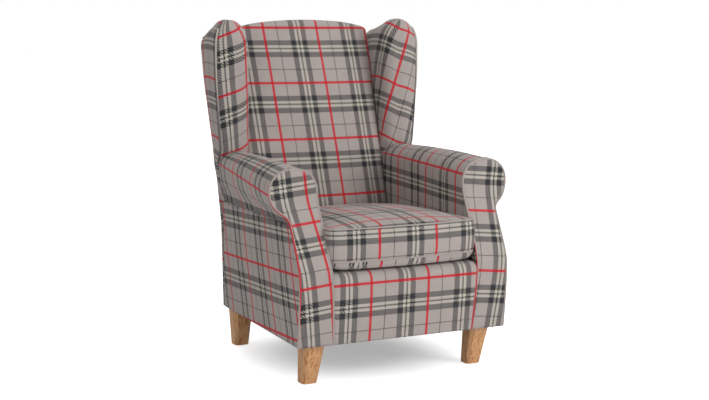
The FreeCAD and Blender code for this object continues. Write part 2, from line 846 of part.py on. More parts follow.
def make_back_rails():
    """Make the arched top rail and the lower rail between the back posts."""
    foot_front = S["back_rail_front"] - S["post_depth"]
    low = S["post_top"] - S["top_rail_height"]
    high = S["post_top"] + S["top_rail_rise"]
    half = S["post_inner"]
    front = foot_front + S["gap"] * 2
    low_front = front + (low - post_bend) * S["post_lean_front"]
    high_front = front + (high - post_bend) * S["post_lean_front"]
    leaning = (
        (low_front, low),
        (low_front + S["top_rail_width"], low),
        (high_front + S["top_rail_width"], high),
        (high_front, high),
    )
    plank = new_body("TopRailPlank")
    sketch = sketch_outline(plank, "TopRailSide", "YZ_Plane", -half, leaning)
    pad(plank, "TopRailSidePad", sketch, half * 2)
    corners = ((-half, low), (half, low), (half, S["post_top"]), (-half, S["post_top"]))
    arched = new_body("TopRailArch")
    deep = S["rear_low"] * 2
    sketch = sketch_outline(arched, "TopRailFront", "XZ_Plane", -deep, corners,
                            (2, S["top_rail_rise"]))
    pad(arched, "TopRailFrontPad", sketch, deep)
    rail = doc.addObject("Part::Common", "BackTopRail")
    rail.Base = plank
    rail.Tool = arched
    keep(rail, "back_top_rail")
    low = S["lower_rail_place"]
    rise = low + S["lower_rail_height"] - post_bend
    front = foot_front + rise * S["post_lean_front"] + S["gap"] * 2
    depth = (front, front + S["tack_rail_width"])
    rail = board("LowerRail", (-half, half), depth, (low, low + S["lower_rail_height"]))
    keep(rail, "back_lower_rail")


def make_arm_frames():
    """Make the arm posts, the arm rails and the tack rails."""
    rail_rear = S["arm_rear"] - S["arm_pad"] / 2
    for word, side in SIDES.items():
        title = word.title()
        low = frame_low + S["block_height"] + S["post_foot_gap"]
        step = -S["scroll_front"] + S["facing_pad"] + S["gap"] * 2
        foot = (
            (front_rail_rear, low),
            (front_rail_rear + S["arm_post_depth"], low),
            (front_rail_rear + S["arm_post_depth"], S["slope_height"]),
            (step + S["arm_post_depth"], throat_height),
            (step + S["arm_post_depth"], arm_rail_low),
            (step, arm_rail_low),
            (step, throat_height),
            (front_rail_rear, S["slope_height"] - S["arm_pad"]),
        )
        body = new_body(f"{title}ArmPost")
        inner = across(side, S["arm_post_inner"], side_rail_inner)[0]
        sketch = sketch_outline(body, f"{title}PostTongue", "YZ_Plane", inner, foot)
        pad(body, f"{title}TonguePad", sketch, side_rail_inner - S["arm_post_inner"])
        upper = ((front_rail_rear, S["rail_top"]),
                 (front_rail_rear + S["arm_post_depth"], S["rail_top"])) + foot[2:]
        outer = across(side, side_rail_inner, arm_post_outer)[0]
        sketch = sketch_outline(body, f"{title}PostHead", "YZ_Plane", outer, upper)
        pad(body, f"{title}HeadPad", sketch, arm_post_outer - side_rail_inner)
        keep(body, f"{word}_arm_post")
        middle = S["seat_half"] + mean_roll
        x = across(side, middle - S["arm_rail_width"] / 2, middle + S["arm_rail_width"] / 2)
        rail = board(f"{title}ArmRail", x, (step, rail_rear),
                     (arm_rail_low, arm_rail_low + S["arm_rail_height"]))
        keep(rail, f"{word}_arm_rail")
        x = across(side, S["arm_post_inner"], S["arm_post_inner"] + S["tack_rail_width"])
        depth = (front_rail_rear + S["arm_post_depth"], S["back_rail_front"] - S["post_depth"])
        rail = board(f"{title}TackRail", x, depth,
                     (tack_rail_low, tack_rail_low + S["tack_rail_height"]))
        keep(rail, f"{word}_tack_rail")


def wing_board_corners(level, play):
    """Return the corners of the right wing board at a level, grown by some play."""
    rise = level - post_bend
    foot = S["back_rail_front"] - S["post_depth"]
    rear = foot + rise * S["post_lean_front"] + S["wing_board_width"] / 2 + play
    front = S["wing_front"] + S["wing_wall"] * 2 - play
    near = post_outer - play
    far = S["wing_seam_half"] - S["wing_wall"] - S["wing_board_width"] * 2 - play
    width = S["wing_board_width"] + play * 2
    return ((near, rear), (far, front), (far + width, front), (near + width, rear))


def wing_board_levels():
    """Return the lower and upper end of a wing board."""
    return wing_low + S["wing_wall"], S["wing_top"] - S["wing_wall"] * 3


def make_wing_boards():
    """Make the flared board inside each wing."""
    for word, side in SIDES.items():
        body = new_body(f"{word.title()}WingBoard")
        sketches = []
        for name, level in zip(("Low", "High"), wing_board_levels()):
            flat = wing_board_corners(level, as_size(0))
            if side == LEFT:
                flat = tuple((-x, y) for x, y in flat)
            sketches.append(sketch_outline(body, f"{word.title()}Board{name}", "XY_Plane",
                                           level, flat))
        loft_body(body, f"{word.title()}BoardLoft", sketches)
        keep(body, f"{word}_wing_board")


def wing_board_room():
    """Return the room for the board inside the right wing's foam."""
    wires = []
    for level, play in zip(wing_board_levels(), (-S["gap"], S["gap"])):
        corners = wing_board_corners(level, S["gap"])
        height = float(level + play)
        points = [Vector(float(x), float(y), height) for x, y in corners]
        wires.append(closed_wire(*points))
    return loft(wires, True)


# Springs, webbing and deck.

def spring_places():
    """Return the place of each spring across the seat."""
    count = int(number("spring_count"))
    span = number("spring_span")
    return [-span / 2 + span * i / (count - 1) for i in range(count)]


def spring_wire_shape(x):
    """Return one zigzag spring, which runs from the front clip to the back clip."""
    level = float(spring_level)
    start = float(front_rail_rear) - number("clip_width") / 2
    end = number("back_rail_front") + number("clip_width") / 2
    runs = int((end - start) / number("spring_pitch"))
    pitch = (end - start) / runs
    half = number("spring_run") / 2
    here = Vector(x - half, start, level)
    edges = []
    for i in range(runs + 1):
        way = 1 if i % 2 == 0 else -1
        there = Vector(x + way * half, start + i * pitch, level)
        edges.append(Part.LineSegment(here, there).toShape())
        if i < runs:
            after = there + Vector(0, pitch, 0)
            middle = there + Vector(way * pitch / 2, pitch / 2, 0)
            edges.append(Part.Arc(there, middle, after).toShape())
            here = after
    path = Part.Wire(edges)
    circle = Part.Circle(Vector(x - half, start, level), Vector(1, 0, 0),
                         number("spring_wire") / 2)
    return path.makePipeShell([Part.Wire([circle.toShape()])], True, False)


def make_springs():
    """Make the zigzag springs and the clips that hold their ends."""
    soft("seat_springs", Part.makeCompound([spring_wire_shape(x) for x in spring_places()]))
    clips = []
    length = number("clip_length")
    width = number("clip_width")
    for x in spring_places():
        for y in (float(front_rail_rear) - width, number("back_rail_front")):
            clip = Part.makeBox(length, width, number("clip_height"),
                                Vector(x - length / 2, y, number("rail_top")))
            bore = Part.makeCylinder((number("spring_wire") + number("gap") / 2) / 2, 2 * length,
                                     Vector(x - length, y + width / 2, float(spring_level)),
                                     Vector(1, 0, 0))
            clips.append(clip.cut(bore))
    soft("spring_clips", Part.makeCompound(clips))


def make_webbing():
    """Make the straps that cross the back between its posts."""
    lean = math.atan(number("post_lean_front"))
    half = float(post_outer) - number("strap_inset")
    low = number("lower_rail_place") + number("lower_rail_height") + number("strap_start")
    high = number("post_top") - number("top_rail_height") - number("strap_width")
    count = int(number("strap_count"))
    straps = []
    for i in range(count):
        height = low + (high - low) * i / (count - 1)
        strap = Part.makeBox(2 * half, number("strap_thickness"), number("strap_width"),
                             Vector(-half, -number("strap_thickness") - number("gap") / 2, 0))
        strap.rotate(Vector(0, 0, 0), Vector(1, 0, 0), -math.degrees(lean))
        strap.translate(Vector(0, post_face(height), height))
        straps.append(strap)
    soft("back_webbing", Part.makeCompound(straps))


def make_deck():
    """Make the deck pad, the deck cloth and the dust cloth under the seat."""
    half = S["seat_half"] - S["gap"]
    front = front_rail_rear + S["gap"]
    rear = S["back_rail_front"] - S["post_depth"] - S["gap"] * 10
    top = S["deck_top"] - S["cover"] - S["gap"]
    pad_box = board("DeckPad", (-half, half), (front, rear), (top - S["deck_pad"], top))
    keep(pad_box, "deck_pad")
    cloth = board("DeckCloth", (-half, half), (front, rear),
                  (S["deck_top"] - S["cover"], S["deck_top"]))
    keep(cloth, "deck_cloth")
    low = frame_low - S["dust_cloth"] - S["gap"] / 2
    reach = S["side_rail_half"]
    sheet = board("DustSheet", (-reach, reach),
                  (-S["rail_front"], S["back_rail_front"] + S["back_rail_width"]),
                  (low, low + S["dust_cloth"]))
    holes = []
    room = (S["leg_top_width"] + S["cover"]) / 2
    for where, (x, y) in leg_tops().items():
        holes.append(board(f"LegHole_{where}", (x - room, x + room), (y - room, y + room),
                           (low - S["cover"], low + S["cover"])))
    keep(cut("DustCloth", sheet, group("LegHoles", holes)), "dust_cloth")


# Upholstery.

def make_back():
    """Make the foam and the cover of the inside back."""
    step = number("cover") + number("gap")
    soft("back_pad", back_shape(step))
    soft("inside_back_cover", back_shape(0.0).cut(back_shape(number("cover"))))


def make_outside_back():
    """Make the panel that closes the back."""
    low = number("leg_height")
    top = number("panel_top")
    bend = number("lean_height")
    thick = number("cover")
    strip = closed_wire(
        Vector(0, rear_face(low), low),
        Vector(0, rear_face(bend), bend),
        Vector(0, rear_face(top), top),
        Vector(0, rear_face(top) - thick, top),
        Vector(0, rear_face(bend) - thick, bend),
        Vector(0, rear_face(low) - thick, low),
    )
    reach = number("wing_rear_half") * 2
    slab = prism(strip, Vector(2 * reach, 0, 0)).translated(Vector(-reach, 0, 0))
    waist_row = WING_SECTIONS[0]
    full_row = WING_SECTIONS[2]
    play = number("gap") * 2
    hem = number("base_half_rear") - play
    waist = number("wing_rear_half") - waist_row[4] - play
    shoulder = number("wing_rear_half") - full_row[4] - play
    full = float(wing_low) + full_row[0] * (number("wing_top") - float(wing_low))
    round_off = number("wing_corner")
    turn = round_off * (1 - math.sqrt(0.5))
    outline = closed_wire(
        Vector(-hem, 0, low),
        Vector(-waist, 0, float(wing_low)),
        Vector(-shoulder, 0, full),
        Vector(-shoulder, 0, top - round_off),
        (Vector(-shoulder + turn, 0, top - turn), Vector(-shoulder + round_off, 0, top)),
        Vector(shoulder - round_off, 0, top),
        (Vector(shoulder - turn, 0, top - turn), Vector(shoulder, 0, top - round_off)),
        Vector(shoulder, 0, full),
        Vector(waist, 0, float(wing_low)),
        Vector(hem, 0, low),
    )
    soft("outside_back_panel", slab.common(prism(outline, Vector(0, reach, 0))))


def make_arms():
    """Make the foam, covers, facings and outside panels of both arms."""
    step = number("cover") + number("gap")
    tuck = float(tack_rail_low) + number("cover")
    foam = arm_loft(cane_wire, tuck, step, number("arm_pad")).cut(arm_end_room(step, 0))
    skin = arm_skin(tuck)
    facing_cover = facing_outline(0.0).common(
        front_layer(0.0, number("cover"), number("leg_height"), number("arm_height") + 1))
    behind_rail = front_layer(step, number("facing_pad"), float(frame_low),
                              number("arm_height"))
    facing_foam = facing_outline(step).common(behind_rail)
    panel = outside_arm()
    wadding = outside_arm_wadding()
    for word, side in SIDES.items():
        soft(f"{word}_arm_pad", mirrored(foam, side))
        soft(f"{word}_arm_cover", mirrored(skin, side))
        soft(f"{word}_facing_pad", mirrored(facing_foam, side))
        soft(f"{word}_facing_cover", mirrored(facing_cover, side))
        soft(f"{word}_outside_arm_panel", mirrored(panel, side))
        soft(f"{word}_outside_arm_wadding", mirrored(wadding, side))


def outside_half(place):
    """Return half the chair's width at a place along its depth."""
    front = -number("knee_front")
    share = (place - front) / (number("arm_rear") - front)
    return number("base_half_front") + share * (
        number("base_half_rear") - number("base_half_front"))


def neck_height(radius, half):
    """Return the height of the seam under the arm roll."""
    reach = radius + number("neck_radius")
    return number("arm_height") - radius - reach * math.sin(roll_angle(radius, half))


def rear_neck_height():
    """Return the height of that seam where the arm meets the wing."""
    return neck_height(number("roll_radius_rear"), number("base_half_rear"))


def outside_arm():
    """Return the outside panel of the right arm."""
    low = number("leg_height")
    front = -number("knee_front") - BEYOND
    turn = number("arm_rear")
    rear = rear_face(rear_neck_height())
    thick = number("cover")
    front_top = neck_height(number("scroll_radius"), number("base_half_front"))
    sections = ((front, front_top), (turn, rear_neck_height()), (rear, rear_neck_height()))
    wires = []
    for place, top in sections:
        outer = outside_half(place)
        high = top - number("gap")
        wires.append(closed_wire(
            Vector(outer, place, low),
            Vector(outer, place, high),
            Vector(outer - thick, place, high),
            Vector(outer - thick, place, low),
        ))
    shape = loft(wires, True).common(before_rear())
    return shape.common(behind_front(number("facing_pad") + number("gap")))


def outside_arm_wadding():
    """Return the wadding between the right side rail and the outside panel."""
    step = number("cover") + number("gap")
    low = float(frame_low)
    front = -number("rail_front")
    rear = number("rear_low") - number("cover") - 3 * number("gap")
    inner = number("side_rail_half") + number("gap")
    wire = closed_wire(
        Vector(inner, front, low),
        Vector(outside_half(front) - step, front, low),
        Vector(outside_half(rear) - step, rear, low),
        Vector(inner, rear, low),
    )
    return prism(wire, Vector(0, 0, number("rail_top") - low))


def make_wings():
    """Make the foam and the cover of both wings."""
    step = number("cover") + number("gap")
    foam = wing_shape(step).cut(wing_board_room())
    skin = wing_shape(0.0).cut(wing_shape(number("cover")))
    foot = wing_foot()
    for word, side in SIDES.items():
        soft(f"{word}_wing_pad", mirrored(foam, side))
        soft(f"{word}_wing_cover", mirrored(skin, side))
        soft(f"{word}_wing_foot", mirrored(foot, side))


def border_outline(inset):
    """Return the outline of the front border between the facings, as a deep solid."""
    low = number("leg_height")
    top = number("deck_top")
    share = (top - low) / (number("facing_flare_height") - low)
    foot = number("facing_inner_low") - number("gap") - inset
    head = number("facing_inner_low") + share * (
        number("seat_half") - number("facing_inner_low")) - number("gap") - inset
    front = -number("knee_front") - BEYOND
    wire = closed_wire(
        Vector(-foot, front, low),
        Vector(foot, front, low),
        Vector(head, front, top),
        Vector(-head, front, top),
    )
    return prism(wire, Vector(0, number("knee_front"), 0))


def border_shape(inset, rear):
    """Return the front border with its rounded top edge, drawn in by an inset."""
    top = number("deck_top") - inset
    low = number("leg_height") - number("gap")
    front = number("base_front") - inset
    knee = number("knee_front") - inset
    turn = number("border_round")
    corner = turn * (1 - math.sqrt(0.5))
    wire = closed_wire(
        Vector(0, -front, low),
        Vector(0, -knee, number("knee_height")),
        Vector(0, -knee, top - turn),
        (Vector(0, -knee + corner, top - corner), Vector(0, -knee + turn, top)),
        Vector(0, -rear, top),
        Vector(0, -rear, low),
    )
    half = number("seat_half")
    return prism(wire, Vector(2 * half, 0, 0)).translated(Vector(-half, 0, 0))


def below(height, rear):
    """Return everything below a height and in front of a place, as one wide block."""
    reach = number("wing_rear_half") * 2
    return Part.makeBox(2 * reach, reach + rear, height, Vector(-reach, -reach, 0))


def make_front_border():
    """Make the foam and the cover of the border under the cushion."""
    step = number("cover") + number("gap")
    deck_front = -float(front_rail_rear)
    rail = Part.makeBox(
        2 * number("side_rail_half"), number("rail_width") + 2 * number("gap"),
        number("rail_top") + number("clip_height") + number("gap"),
        Vector(-number("side_rail_half"), -number("rail_front") - number("gap"), 0))
    foam = border_shape(step, deck_front).common(border_outline(number("gap"))).cut(rail)
    soft("front_border_pad", foam.cut(below(float(frame_low), 0)))
    inner = border_shape(number("cover"), deck_front - number("cover"))
    skin = border_shape(0.0, deck_front).cut(inner).common(border_outline(0.0))
    back = below(number("deck_top") - number("border_tuck"), 0)
    back = back.translated(Vector(0, number("wing_rear_half") * 2 - deck_front
                                  - 2 * number("cover"), 0))
    soft("front_border_cover", skin.cut(below(number("leg_height"), 0)).cut(back))


# Legs.

def eight_sided(x, y, width, corner):
    """Return the corners of a square with flats on its corners."""
    half = width / 2
    short = half - corner
    corners = []
    for first, second in (((half, -short), (half, short)), ((short, half), (-short, half)),
                          ((-half, short), (-half, -short)), ((-short, -half), (short, -half))):
        corners += [(x + first[0], y + first[1]), (x + second[0], y + second[1])]
    return corners


def make_legs():
    """Make the legs, with their hanger bolts, tee nuts and glides."""
    bolts = []
    nuts = []
    glides = []
    bore_depth = S["bolt_in_leg"]
    for where, (x, y, rake) in leg_places().items():
        body = new_body(f"Leg_{where}")
        top = sketch_outline(body, f"LegTop_{where}", "XY_Plane", frame_low,
                             eight_sided(x, y, S["leg_top_width"], S["leg_corner"]))
        foot = sketch_outline(body, f"LegFoot_{where}", "XY_Plane", S["glide_height"],
                              eight_sided(x, y + rake, S["leg_foot_width"], S["foot_corner"]))
        loft_body(body, f"LegLoft_{where}", (top, foot))
        doc.recompute()
        mouth = body.newObject("Sketcher::SketchObject", f"LegBore_{where}")
        mouth.AttachmentSupport = [(origin_plane(body, "XY_Plane"), "")]
        mouth.MapMode = "FlatFace"
        mouth.setExpression("AttachmentOffset.Base.z", frame_low.formula)
        mouth.addGeometry(Part.Circle(Vector(float(x), float(y), 0), Vector(0, 0, 1),
                                      number("bolt_radius")))
        bind(mouth, as_size(x), "DistanceX", -1, 1, 0, 3)
        bind(mouth, as_size(y), "DistanceY", -1, 1, 0, 3)
        bind(mouth, S["bolt_radius"], "Radius", 0)
        bore = body.newObject("PartDesign::Pocket", f"LegPocket_{where}")
        bore.Profile = mouth
        bore.setExpression("Length", bore_depth.formula)
        keep(body, f"{where}_leg")
        block_top = frame_low + S["block_height"]
        bolts.append(rod(f"Bolt_{where}", S["bolt_radius"], bore_depth + S["block_height"],
                         x, y, frame_low - bore_depth))
        barrel = rod(f"Barrel_{where}", S["bolt_radius"] + S["nut_wall"], S["block_height"] / 3,
                     x, y, block_top - S["block_height"] / 3)
        flange = rod(f"Flange_{where}", S["nut_flange_radius"], S["nut_flange_height"],
                     x, y, block_top)
        blank = doc.addObject("Part::Fuse", f"NutBlank_{where}")
        blank.Base = barrel
        blank.Tool = flange
        thread = rod(f"NutBore_{where}", S["bolt_radius"], S["block_height"], x, y,
                     block_top - S["block_height"] / 2)
        nuts.append(cut(f"Nut_{where}", blank, thread))
        glides.append(rod(f"Glide_{where}", S["glide_radius"], S["glide_height"], x,
                          y + rake, as_size(0)))
    keep(group("LegBolts", bolts), "leg_bolts")
    keep(group("TeeNuts", nuts), "tee_nuts")
    keep(group("Glides", glides), "leg_glides")


# Seat cushion.

def piping_loop(height):
    """Return the piping cord along one seam of the cushion, which it just touches."""
    stand = number("piping_radius") * CORD_STAND
    half = number("cushion_half") + stand
    front = -number("cushion_front") - stand
    side_front = front + number("cushion_bow")
    corner = number("cushion_corner") + stand
    turn = corner * (1 - math.sqrt(0.5))
    start = Vector(-half, number("cushion_rear"), height)
    steps = [
        Vector(-half, side_front + corner, height),
        (Vector(-half + turn, side_front + turn, height),
         Vector(-half + corner, side_front - number("cover"), height)),
        (Vector(0, front, height), Vector(half - corner, side_front - number("cover"), height)),
        (Vector(half - turn, side_front + turn, height),
         Vector(half, side_front + corner, height)),
        Vector(half, number("cushion_rear"), height),
    ]
    edges, last = path_edges(start, steps)
    circle = Part.Circle(start, Vector(0, 1, 0), number("piping_radius"))
    return Part.Wire(edges).makePipeShell([Part.Wire([circle.toShape()])], True, False)


def make_cushion():
    """Make the cushion's core, cover, piping and zip."""
    step = number("cover") + number("gap")
    soft("cushion_core", cushion_shape(step))
    whole = cushion_shape(0.0)
    soft("cushion_cover", whole.cut(cushion_shape(number("cover"))))
    stand = number("piping_radius") * CORD_STAND
    levels = (number("cushion_high_seam") + stand, number("cushion_low_seam") - stand)
    soft("cushion_piping", Part.makeCompound([piping_loop(level) for level in levels]))


def make_zip():
    """Make the zip along the back of the cushion, with its slider."""
    middle = (S["cushion_low_seam"] + S["cushion_high_seam"]) / 2
    rear = S["cushion_rear"] + S["gap"] / 2
    half_tape = S["zip_tape_height"] / 2
    tape = board("ZipTape", (-S["zip_half"], S["zip_half"]),
                 (rear, rear + S["zip_tape_thickness"]), (middle - half_tape, middle + half_tape))
    keep(tape, "cushion_zip")
    face = rear + S["zip_tape_thickness"] + S["gap"]
    near = -S["zip_half"] + S["zip_stop"]
    half_slider = S["slider_height"] / 2
    slider = board("ZipSlider", (near, near + S["slider_length"]),
                   (face, face + S["slider_thickness"]), (middle - half_slider, middle + half_slider))
    tab_face = face + (S["slider_thickness"] - S["pull_thickness"]) / 2
    half_pull = S["pull_height"] / 2
    tab = board("ZipPull", (near + S["slider_length"], near + S["slider_length"] + S["pull_length"]),
                (tab_face, tab_face + S["pull_thickness"]), (middle - half_pull, middle + half_pull))
    whole = doc.addObject("Part::Fuse", "ZipSliderWhole")
    whole.Base = slider
    whole.Tool = tab
    keep(whole, "zip_slider")


def check_and_export():
    """Stop on any failed object, then write one file per sub-part."""
    doc.recompute()
    for obj in doc.Objects:
        if "Invalid" in obj.State or "Error" in obj.State:
            raise RuntimeError(f"{obj.Name} failed: {obj.State}")
    for obj in sub_parts:
        if obj.Shape.isNull() or not obj.Shape.isValid() or not obj.Shape.Solids:
            raise RuntimeError(f"{obj.Label} has no valid shape")
    os.makedirs("parts", exist_ok=True)
    for obj in sub_parts:
        obj.Shape.exportStep(os.path.join("parts", f"{obj.Label}.step"))
    print(f"{len(sub_parts)} sub-parts written")


make_seat_frame()
make_corner_blocks()
make_back_posts()
make_back_rails()
make_arm_frames()
make_wing_boards()
make_springs()
make_webbing()
make_deck()
make_back()
make_outside_back()
make_arms()
make_wings()
make_front_border()
make_legs()
make_cushion()
make_zip()
check_and_export()
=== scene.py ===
"""A fireside chair with wings, rolled arms and a loose seat cushion, dressed over its frame.

Sizes are in millimetres and turn to metres where a mesh is made. The front of the chair is
towards -Y, and "left" is the -X side.
"""

import logging
import math
from dataclasses import dataclass
from enum import Enum
from typing import Any, Callable

import bmesh
import bpy
import numpy as np
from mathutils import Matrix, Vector, noise


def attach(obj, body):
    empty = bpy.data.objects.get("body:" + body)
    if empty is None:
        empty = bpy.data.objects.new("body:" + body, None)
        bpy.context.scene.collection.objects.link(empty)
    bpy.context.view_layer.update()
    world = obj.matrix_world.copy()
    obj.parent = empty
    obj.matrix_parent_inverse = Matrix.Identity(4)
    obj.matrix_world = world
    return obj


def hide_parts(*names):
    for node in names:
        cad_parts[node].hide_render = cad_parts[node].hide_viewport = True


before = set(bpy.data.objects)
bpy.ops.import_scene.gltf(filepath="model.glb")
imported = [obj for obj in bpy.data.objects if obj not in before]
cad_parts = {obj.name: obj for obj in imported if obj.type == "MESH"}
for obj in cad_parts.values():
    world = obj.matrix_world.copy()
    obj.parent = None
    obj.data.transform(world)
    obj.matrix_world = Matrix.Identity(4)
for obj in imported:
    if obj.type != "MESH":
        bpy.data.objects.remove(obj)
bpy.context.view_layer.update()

LOG = logging.getLogger("chair")
MM = 0.001
CLOTH_MAP = "cloth"
SEWN_GAP = 0.00005
TINY_EDGE = 0.00001
STRIP_PLACE = 40
STRIP_SLANT = 0.01
OFF_EVERY_SEAM = (0.31, 0.17, 0.93)
Array = np.ndarray


class Side(Enum):
    """The two sides of the chair."""

    LEFT = -1
    RIGHT = 1

    @property
    def word(self) -> str:
        """The side's name in lower case."""
        return self.name.lower()

    def pick(self, values: tuple[float, float]) -> float:
        """Return this side's own of two values, of which the left one is first."""
        return values[self is Side.RIGHT]


def both(*names: str) -> tuple[str, ...]:
    """Return the left and the right node of each name."""
    return tuple(f"{side.word}_{name}" for name in names for side in Side)


class Profile:
    """A smooth line through a few measured places, which never overshoots them."""

    def __init__(self, *knots: tuple[float, float]) -> None:
        """Work out the slopes at the knots.

        Args:
            knots: Pairs of a place and the value there, in rising order of place.
        """
        self.places = np.array([knot[0] for knot in knots], float)
        self.values = np.array([knot[1] for knot in knots], float)
        steps = np.diff(self.values) / np.diff(self.places)
        inner = [2 * a * b / (a + b) if a * b > 0 else 0.0 for a, b in zip(steps, steps[1:])]
        self.slopes = np.array([steps[0], *inner, steps[-1]])

    def at(self, place: Array | float) -> Array:
        """Read the line.

        Args:
            place: One place or an array of them.

        Returns:
            The values there, held at the first and last knot beyond them.
        """
        place = np.clip(place, self.places[0], self.places[-1])
        i = np.clip(np.searchsorted(self.places, place, side="right") - 1, 0, len(self.places) - 2)
        step = self.places[i + 1] - self.places[i]
        t = (place - self.places[i]) / step
        return (self.values[i] * (1 + 2 * t) * (1 - t) ** 2
                + self.values[i + 1] * t * t * (3 - 2 * t)
                + step * self.slopes[i] * t * (1 - t) ** 2
                + step * self.slopes[i + 1] * t * t * (t - 1))


def rounding(share: Array | float) -> Array:
    """Return how far a quarter circle has fallen, from 0 to 1, at a share of its width."""
    return 1 - np.sqrt(1 - np.clip(share, 0, 1) ** 2)


def grid(*axes: Array) -> Array:
    """Return a grid of places from its coordinates, each spread to the grid's full size."""
    return np.stack(np.broadcast_arrays(*axes), axis=2)


def eased(count: int, first: bool = True, last: bool = True) -> Array:
    """Return shares from 0 to 1 that crowd together at the chosen ends.

    Args:
        count: How many shares.
        first: Whether they crowd at 0.
        last: Whether they crowd at 1.

    Returns:
        The shares in rising order.
    """
    t = np.linspace(0, 1, count)
    if first and last:
        return (1 - np.cos(math.pi * t)) / 2
    if last:
        return np.sin(math.pi * t / 2)
    return 1 - np.cos(math.pi * t / 2)


@dataclass(frozen=True)
class Chair:
    """The sizes that several panels share, in millimetres."""

    hem: float = 128
    seat_half: float = 243
    half_front: float = 341
    half_rear: float = 321
    arm_height: float = 643
    scroll_radius: float = 75
    roll_radius_rear: float = 50
    roll_stretch_rear: float = 2.2
    neck_radius: float = 29
    arm_rear: float = 250
    sides_front: float = -391
    rear_low: float = 280
    lean_height: float = 400
    rear_lean: float = 0.19
    back_face: float = 177
    back_face_height: float = 451
    front_lean: float = 0.30
    facing_inner_low: float = 230
    facing_flare: float = 400
    hem_band: float = 104
    back_band: float = 774

    @property
    def front(self) -> Profile:
        """The front of the arms and the border, seen from the side."""
        return Profile((127, -375), (215, -385), (300, -391), (335, -390), (372, -378),
                       (430, -350), (500, -314), (535, -298), (568, -292), (643, -292))

    def rear_face(self, height: Array | float) -> Array:
        """Return where the outside back lies at a height."""
        return self.rear_low + self.rear_lean * np.maximum(0, height - self.lean_height)

    def outer_half(self, place: Array | float) -> Array:
        """Return half the chair's width below the arms, at a place along its depth."""
        return np.interp(place, (self.sides_front, self.arm_rear), (self.half_front, self.half_rear))

    def inside_back(self, height: Array | float) -> Array:
        """Return where the middle of the inside back lies at a height."""
        rise = np.maximum(0, height - self.back_face_height)
        return self.back_face + self.front_lean * rise

    def neck_height(self, radius: float, half: float, stretch: float = 1.0) -> float:
        """Return the height of the seam under an arm roll whose lower half is stretched down."""
        fall = (radius + self.neck_radius) * math.sin(self.roll_angle(radius, half))
        return self.arm_height - radius - stretch * fall

    @property
    def neck_front(self) -> float:
        """The height of the seam under the roll at the facing."""
        return self.neck_height(self.scroll_radius, self.half_front)

    @property
    def neck_rear(self) -> float:
        """The height of the seam under the roll at its rear end."""
        return self.neck_height(self.roll_radius_rear, self.half_rear, self.roll_stretch_rear)

    def roll_angle(self, radius: float, half: float) -> float:
        """Return the angle below level at which the roll turns into its neck."""
        reach = half - self.seat_half - radius + self.neck_radius
        return math.acos(reach / (radius + self.neck_radius))


CHAIR = Chair()


